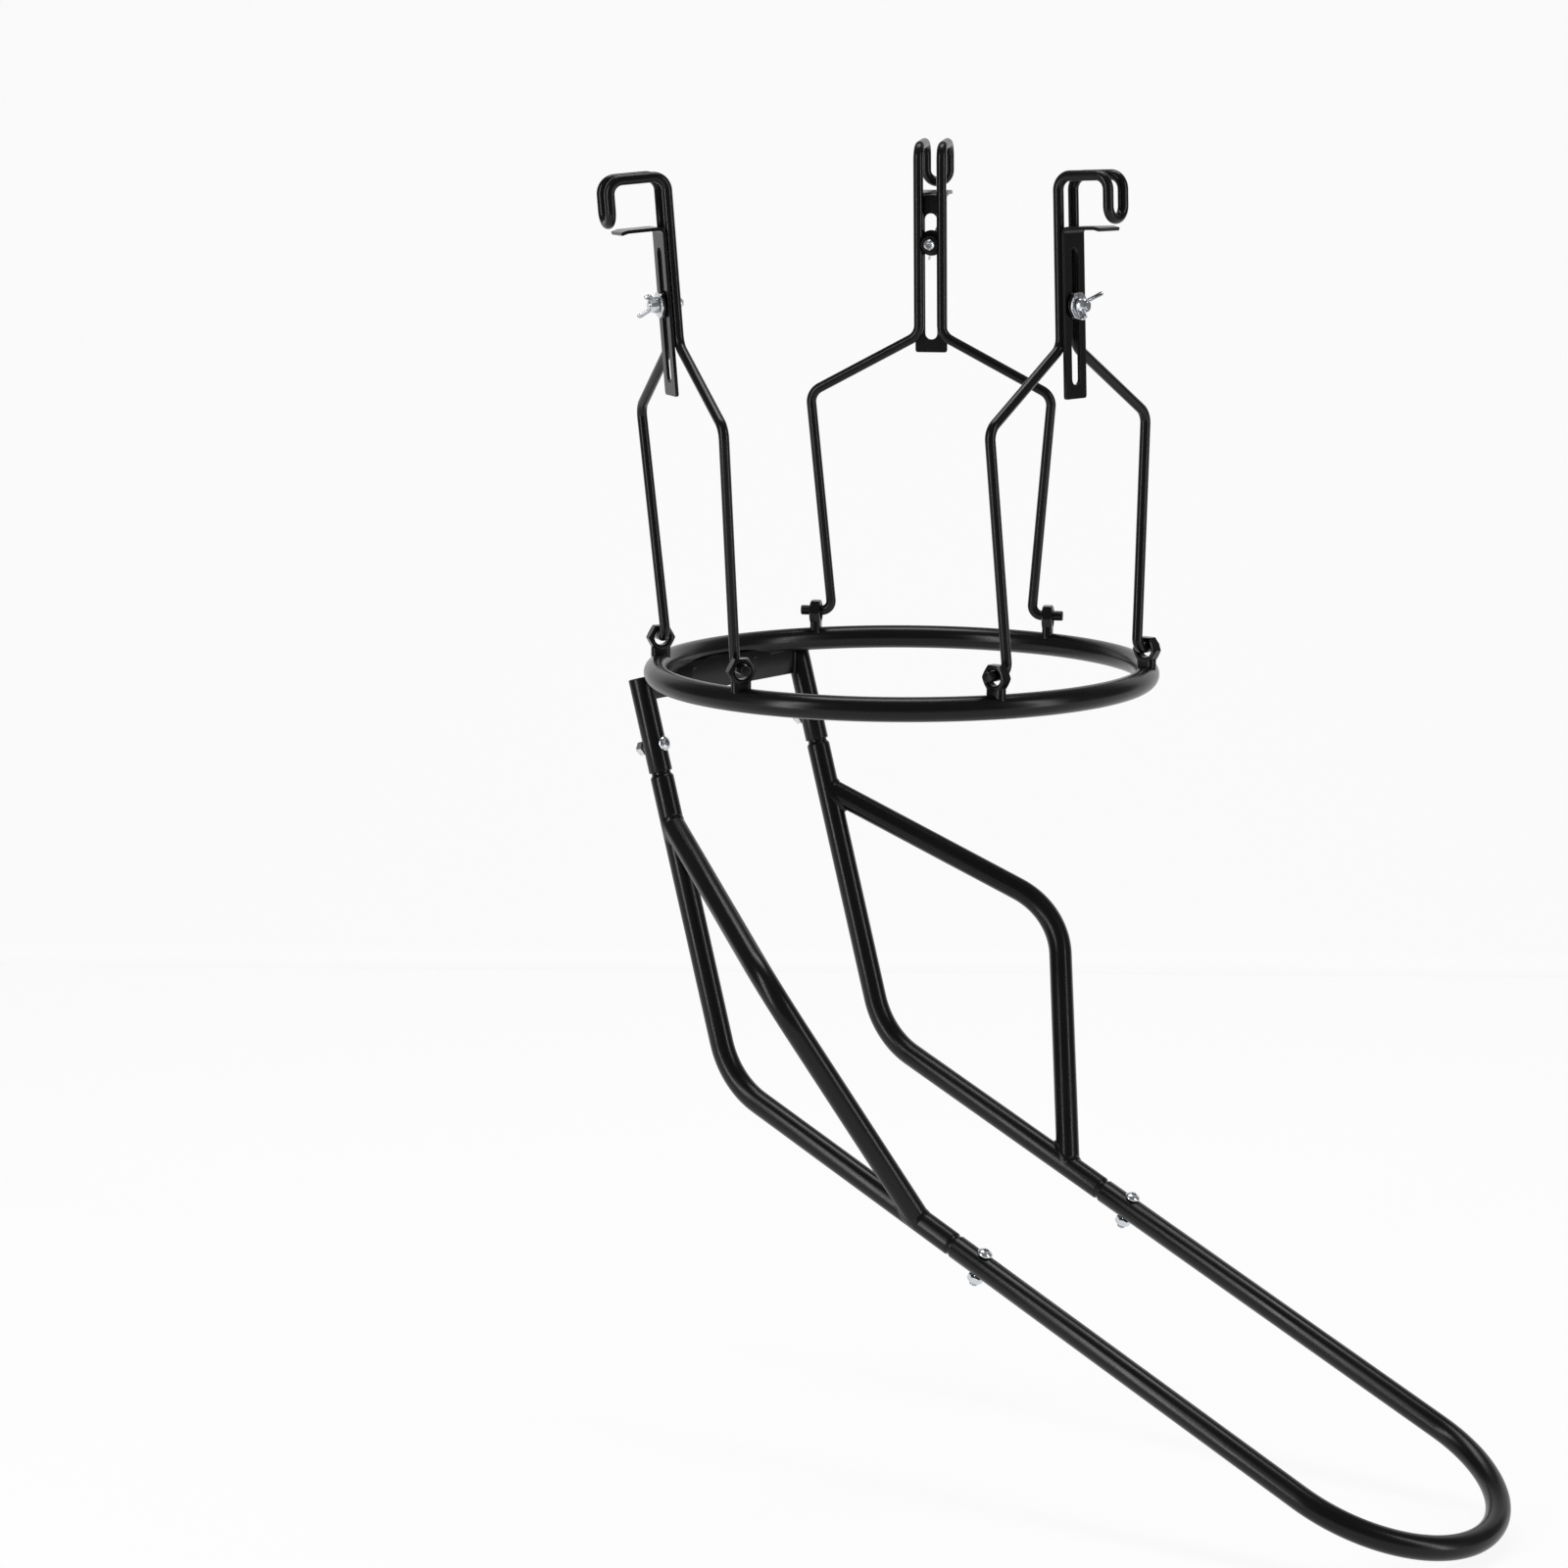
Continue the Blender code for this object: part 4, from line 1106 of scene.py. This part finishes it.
def plate_grids(hanger):
    """Bent plate's middle surface: (x(s), y, z(s)) for s along the line and y across it.

    Round the slot the grid runs from the slot's outline to the plate's outline; above the
    slot it is a plain grid of s and y, up the bend and out along the lip.
    """
    points, foot_level, lip_level = plate_line(hanger)
    half = PLATE_WIDTH / 2
    slot_half = SLOT_WIDTH / 2
    slot_low = SLOT_BOTTOM_LAND + slot_half
    slot_high = lip_level + PLATE_THICKNESS / 2 - SLOT_TOP_LAND - foot_level - slot_half
    split = slot_high + slot_half + SLOT_MARGIN
    columns = np.linspace(-half, half, PLATE_COLUMNS)
    arc = np.linspace(0, pi, PLATE_COLUMNS)
    down = np.linspace(slot_high, slot_low, PLATE_SIDE_ROWS)[1:-1]
    slot = np.vstack([
        columns_of(slot_high + slot_half * np.sin(arc), slot_half * -np.cos(arc)),
        columns_of(down, slot_half),
        columns_of(slot_low - slot_half * np.sin(arc), slot_half * np.cos(arc)),
        columns_of(down[::-1], -slot_half)])
    corner = PLATE_CORNER_RADIUS
    sines, cosines = corner * np.sin(quarter()), corner * np.cos(quarter())
    rim = np.vstack([
        columns_of(split, columns), columns_of(down, half),
        columns_of(corner - sines, half - corner + cosines),
        columns_of(0, [half / 3, 0, -half / 3]),
        columns_of(corner - cosines, -half + corner - sines), columns_of(down[::-1], -half)])
    shares = np.linspace(0, 1, 4)[:, None, None]
    round_slot = slot[None] + shares * (rim - slot)[None]
    along = lengths_along(points)
    knots = np.concatenate([[split], along[along > split]])
    tail = np.stack(np.broadcast_arrays(knots[:, None], columns[None, :]), axis=-1)
    grids = []
    for flat, wrap in ((round_slot, True), (tail, False)):
        middle = at_run(points, flat[..., 0].ravel())
        middle[:, 1] = flat[..., 1].ravel()
        grid = placed(middle, hanger_seat(hanger)).reshape(*flat.shape[:2], 3)
        grids.append((grid, False, wrap))
    return grids


def finish_plate(piece):
    """The sheet's thickness, and the small round that pressing and coating leave on edges."""
    wall = piece.modifiers.new("Sheet thickness", "SOLIDIFY")
    wall.thickness = PLATE_THICKNESS
    wall.offset = 0
    wall.use_even_offset = True
    wall.use_quality_normals = True
    edge = piece.modifiers.new("Edge round", "BEVEL")
    edge.width = PLATE_EDGE_ROUND
    edge.segments = 3
    edge.limit_method = "ANGLE"
    edge.angle_limit = radians(50.0)
    edge.harden_normals = True


def wing_grid(seat, flip):
    """One wing of a wing nut: a flat oval section carried out and up from the hub.

    At each station the oval is w(s) wide in the wing's plane and t(s) thick, with
    (|cos|^0.8, |sin|^0.8) for its rounded-flat outline; both go to zero at the tip.
    """
    stations = smooth_through(WING_STATIONS, WING_ROWS)
    centres = np.column_stack([stations[:, 0], 0 * stations[:, 0], stations[:, 1]])
    ahead = unit(np.gradient(centres, axis=0))
    thick = np.tile((0.0, 1.0, 0.0), (len(centres), 1))
    wide = np.cross(thick, ahead)
    angles = whole_turn(WIRE_SIDES)
    wave, rise = (np.sign(way) * np.abs(way) ** WING_ROUNDNESS
                  for way in (np.cos(angles), np.sin(angles)))
    widths = np.clip(stations[:, 2], 0, None)[:, None, None]
    depths = np.clip(stations[:, 3], 0, None)[:, None, None]
    grid = (centres[:, None] + widths * wave[None, :, None] * wide[:, None]
            + depths * rise[None, :, None] * thick[:, None])
    start = np.tile(centres[:1], (len(angles), 1))[None]
    grid = np.concatenate([start, grid])
    turned = moved_seat(seat, (0, 0, wing_face), turn_matrix(UP, flip))
    return placed(grid, turned), False, True


def wing_nut_grids(hanger):
    """Hub turned about the bolt, with a dished top, and its two wings."""
    turn = turn_matrix(UP, WING_TURNS[hanger])
    seat = moved_seat(clamp_seat(hanger), (0, 0, 0), turn)
    low, high = wing_face, wing_face + WING_HUB_HEIGHT
    hub = WING_HUB_RADIUS
    profile = [(shank_hole, low + HUB_LEAD), (shank_hole + HUB_LEAD, low),
               (hub * HUB_FOOT, low), (hub, low + HUB_LEAD),
               *((hub * wide, low + WING_HUB_HEIGHT * rise) for wide, rise in HUB_WAIST),
               (hub * HUB_RIM[0], high - HUB_EDGE), (hub * HUB_RIM[1], high),
               (shank_hole + HUB_LEAD, high), (shank_hole, high - HUB_LEAD)]
    core = turned_grid(profile, seat)
    return [core, wing_grid(seat, 0.0), wing_grid(seat, pi)]


def clamp_bolt_grids(hanger):
    """Button-head bolt through the clamp, head inside, threaded shank to the outside."""
    head_seat = washer_top + SEAT_GAP
    flip = moved_seat(clamp_seat(hanger), (0, 0, -head_seat), turn_matrix((1, 0, 0), pi))
    length = head_seat + plate_outer + CLAMP_BOLT_STANDOUT
    return bolt_grids(CLAMP_HEAD_RADIUS, CLAMP_HEAD_HEIGHT, CLAMP_BOLT_RADIUS, length, flip)


def joint_fastener_grids(level, side):
    """Bolt and nut of one plugged joint: button head, threaded shank, hexagonal nut."""
    across = sideways_line * side * half_rails
    if level == "upper":
        seat = axis_seat(upper_point(UPPER_BOLT_DROP) + across, upper_normal, UP)
    else:
        centre = lower_point(MOUTH_DISTANCE + LOWER_BOLT_INSET) + across
        seat = axis_seat(centre, lower_normal, UP)
    reach = TUBE_RADIUS + SEAT_GAP
    length = 2 * reach + SEAT_GAP + JOINT_NUT_HEIGHT + JOINT_BOLT_SPARE
    bolt = bolt_grids(JOINT_HEAD_RADIUS, JOINT_HEAD_HEIGHT, JOINT_BOLT_RADIUS, length,
                      moved_seat(seat, (0, 0, reach)))
    nut = nut_grid(JOINT_NUT_ACROSS_FLATS, JOINT_BOLT_RADIUS + SEAT_GAP, JOINT_NUT_HEIGHT,
                   moved_seat(seat, (0, 0, -reach - JOINT_NUT_HEIGHT)))
    return bolt, [nut]


# Studio

def soft_lamp(name, place, size, power):
    """A softbox at a place, turned to face the ring's centre."""
    data = bpy.data.lights.new(name, "AREA")
    data.shape = "RECTANGLE"
    data.size, data.size_y = size
    data.energy = power
    lamp = put_in_scene(name, data)
    lamp.location = place
    back = unit(place)
    right = unit(np.cross(UP, back))
    basis = np.column_stack([right, np.cross(back, right), back])
    lamp.rotation_euler = Matrix(basis.tolist()).to_euler()


def sweep_grid(low):
    """Studio sweep: flat floor, a quarter circle, then a wall, for every x."""
    angles = quarter(24)
    turn = SWEEP_BACK - SWEEP_BEND
    floor_y = np.linspace(-SWEEP_FRONT, turn, 8)
    profile = np.vstack([
        columns_of(floor_y, low),
        columns_of(turn + SWEEP_BEND * np.sin(angles),
                   low + SWEEP_BEND - SWEEP_BEND * np.cos(angles)),
        [[SWEEP_BACK, low + SWEEP_BEND + SWEEP_WALL]]])
    x = np.linspace(-SWEEP_HALF_WIDTH, SWEEP_HALF_WIDTH, 9)
    grid = np.stack(np.broadcast_arrays(x[None, :], profile[:, :1], profile[:, 1:]), axis=-1)
    return grid, False, False


def camera_rays(tree):
    """One where a camera, mirror or glass ray looks, zero where light is gathered."""
    path = add_node(tree, "ShaderNodeLightPath")
    seen = add_node(tree, "ShaderNodeMath", {"operation": "MAXIMUM"}, {
        0: path.outputs["Is Camera Ray"], 1: path.outputs["Is Glossy Ray"]})
    return add_node(tree, "ShaderNodeMath", {"operation": "MAXIMUM"}, {
        0: seen.outputs[0], 1: path.outputs["Is Transmission Ray"]}).outputs[0]


def studio_finish():
    """Matt white studio paper, seen mostly as plain white with the object's shadow on it."""
    finish, tree, output, _ = new_finish("matt_studio_paper")
    colour = bpy.context.scene.chute_finishes.floor_colour
    paper = add_node(tree, "ShaderNodeBsdfDiffuse", (), {"Color": (*colour, 1)})
    glow = add_node(tree, "ShaderNodeEmission", (), {
        "Color": (1, 1, 1, 1), "Strength": PAPER_GLOW})
    share = add_node(tree, "ShaderNodeMath", {"operation": "MULTIPLY"}, {
        0: camera_rays(tree), 1: PAPER_SHARE})
    mix = add_node(tree, "ShaderNodeMixShader", (), {
        0: share.outputs[0], 1: paper.outputs["BSDF"], 2: glow.outputs["Emission"]})
    tree.links.new(mix.outputs["Shader"], output.inputs["Surface"])
    return finish


class CHUTE_OT_stage(Operator):
    """Builds the studio: floor, world, lamps and camera"""
    bl_idname = "chute.stage"
    bl_label = "Stage"

    def execute(self, context):
        scene = context.scene
        low = CAD_BOX[0][2] - FLOOR_GAP
        mesh = mesh_from_grids("studio_sweep", [sweep_grid(low)])
        mesh.shade_smooth()
        floor = put_in_scene("studio_sweep", mesh)
        mesh.materials.append(studio_finish())
        world = bpy.data.worlds.new("studio_world")
        world.use_nodes = True
        tree = world.node_tree
        tree.nodes.clear()
        output = add_node(tree, "ShaderNodeOutputWorld")
        room = add_node(tree, "ShaderNodeBackground", (), {
            "Color": (1, 1, 1, 1), "Strength": WORLD_STRENGTH})
        tree.links.new(room.outputs[0], output.inputs["Surface"])
        scene.world = world
        for lamp in LAMPS:
            soft_lamp(*lamp)
        scene.view_settings.view_transform = "Standard"
        data = bpy.data.cameras.new("photo_camera")
        data.lens = CAMERA_LENS
        data.sensor_width = SENSOR_WIDTH
        data.dof.use_dof = False
        camera = put_in_scene("photo_camera", data)
        camera.location = CAMERA_PLACE
        camera.rotation_euler = CAMERA_TURN
        scene.camera = camera
        return {"FINISHED"}


class CHUTE_OT_ring(Operator):
    """Builds the ring's tube and the six lugs on their posts"""
    bl_idname = "chute.ring"
    bl_label = "Ring and lugs"

    def execute(self, context):
        settings = context.scene.chute_sizes
        ring = ring_grid(settings.ring_radius, settings.tube_radius)
        add_piece("powder_coat", "frame", "coated", [ring], "ring_tube")
        upright = turn_matrix((1, 0, 0), pi / 2)
        for hanger in HANGERS:
            heading = turn_matrix(UP, HANGER_HEADINGS[hanger])
            for number, side in ((1, -1), (2, 1)):
                label = "%s%d" % (hanger, number)
                post = post_grid(hanger, side, settings)
                add_piece("powder_coat", "frame", "welded", [post], "lug_post_" + label)
                place = (chord_distance, side * half_chord + LUG_THICKNESS / 2, LUG_RISE)
                nut = nut_grid(LUG_ACROSS_FLATS, LUG_HOLE_RADIUS, LUG_THICKNESS,
                               moved_seat((ORIGIN, heading), place, upright))
                add_piece("powder_coat", "frame", "coated", [nut], "lug_" + label)
        return {"FINISHED"}


class CHUTE_OT_hangers(Operator):
    """Builds the three bent wire hangers"""
    bl_idname = "chute.hangers"
    bl_label = "Hangers"

    def execute(self, context):
        for hanger in HANGERS:
            wire = hanger_grid(hanger, context.scene.chute_sizes)
            add_piece("powder_coat", "hanger_" + hanger, "coated", [wire],
                      "hanger_wire_" + hanger)
        return {"FINISHED"}


class CHUTE_OT_plates(Operator):
    """Builds the three slotted clamp plates"""
    bl_idname = "chute.plates"
    bl_label = "Clamp plates"

    def execute(self, context):
        for hanger in HANGERS:
            finish_plate(add_piece("powder_coat", "plate_" + hanger, "pressed",
                                   plate_grids(hanger), "clamp_plate_" + hanger))
        return {"FINISHED"}


class CHUTE_OT_clamps(Operator):
    """Builds the clamp bolts with their washers, spacer discs and wing nuts"""
    bl_idname = "chute.clamps"
    bl_label = "Clamp fastenings"

    def execute(self, context):
        discs = (
            ("inner_washer_", INNER_WASHER_RADIUS, -washer_top, -washer_seat, WASHER_ROUND,
             "powder_coat"),
            ("spacer_disc_", SPACER_RADIUS, spacer_low, spacer_top, SPACER_ROUND,
             "powder_coat"),
            ("outer_washer_", OUTER_WASHER_RADIUS, outer_low, outer_top, WASHER_ROUND,
             "zinc_plate"),
        )
        for hanger in HANGERS:
            body = "bolt_" + hanger
            add_piece("zinc_plate", body, "threaded", clamp_bolt_grids(hanger),
                      "clamp_bolt_" + hanger)
            for name, radius, low, high, rounding, slot in discs:
                profile = rounded_ring_profile(shank_hole, radius, low, high, rounding)
                disc = turned_grid(profile, clamp_seat(hanger))
                add_piece(slot, body, "rounded", [disc], name + hanger)
            add_piece("zinc_plate", "wing_" + hanger, "cast", wing_nut_grids(hanger),
                      "wing_nut_" + hanger)
        return {"FINISHED"}


class CHUTE_OT_rails(Operator):
    """Builds the sockets, back bar, main rails, side rails and end loop"""
    bl_idname = "chute.rails"
    bl_label = "Chute tubes"

    def execute(self, context):
        settings = context.scene.chute_sizes
        pieces = [("back_bar", "welded", back_bar_grids(settings))]
        for side, name in SIDES:
            pieces += [
                ("socket_" + name, "coated", [socket_grid(side, settings)]),
                ("main_rail_" + name, "coated", [main_rail_grid(side, settings)]),
                ("side_rail_" + name, "welded", side_rail_grids(side, settings)),
            ]
        pieces.append(("end_loop", "coated", [end_loop_grid(settings)]))
        for node, ending, grids in pieces:
            add_piece("powder_coat", "frame", ending, grids, node)
        return {"FINISHED"}


class CHUTE_OT_joints(Operator):
    """Builds the bolt and nut of each plugged joint"""
    bl_idname = "chute.joints"
    bl_label = "Joint bolts and nuts"

    def execute(self, context):
        for side, name in SIDES:
            for level in ("upper", "lower"):
                bolt, nut = joint_fastener_grids(level, side)
                label = "%s_%s" % (level, name)
                add_piece("zinc_plate", "frame", "threaded", bolt, "joint_bolt_" + label)
                add_piece("zinc_plate", "frame", "chamfered", nut, "joint_nut_" + label)
        return {"FINISHED"}


BUILDERS = (CHUTE_OT_stage, CHUTE_OT_ring, CHUTE_OT_hangers, CHUTE_OT_plates,
            CHUTE_OT_clamps, CHUTE_OT_rails, CHUTE_OT_joints)


class CHUTE_PT_panel(Panel):
    """Lists the pieces and their sizes and finishes"""
    bl_idname = "CHUTE_PT_panel"
    bl_label = "Return chute"
    bl_space_type = "VIEW_3D"
    bl_region_type = "UI"
    bl_category = "Return Chute"

    def draw(self, context):
        for group in (context.scene.chute_sizes, context.scene.chute_finishes):
            for name in group.bl_rna.properties.keys():
                if name not in ("rna_type", "name"):
                    self.layout.prop(group, name)
        for builder in BUILDERS:
            self.layout.operator(builder.bl_idname)


CLASSES = (ChuteSizes, ChuteFinishes, *BUILDERS, CHUTE_PT_panel)


def register():
    for item in CLASSES:
        bpy.utils.register_class(item)
    bpy.types.Scene.chute_sizes = PointerProperty(type=ChuteSizes)
    bpy.types.Scene.chute_finishes = PointerProperty(type=ChuteFinishes)


def unregister():
    del bpy.types.Scene.chute_finishes
    del bpy.types.Scene.chute_sizes
    for item in reversed(CLASSES):
        bpy.utils.unregister_class(item)


def main():
    register()
    bpy.ops.chute.stage()
    bpy.ops.chute.ring()
    bpy.ops.chute.hangers()
    bpy.ops.chute.plates()
    bpy.ops.chute.clamps()
    bpy.ops.chute.rails()
    bpy.ops.chute.joints()


if __name__ == "__main__":
    main()
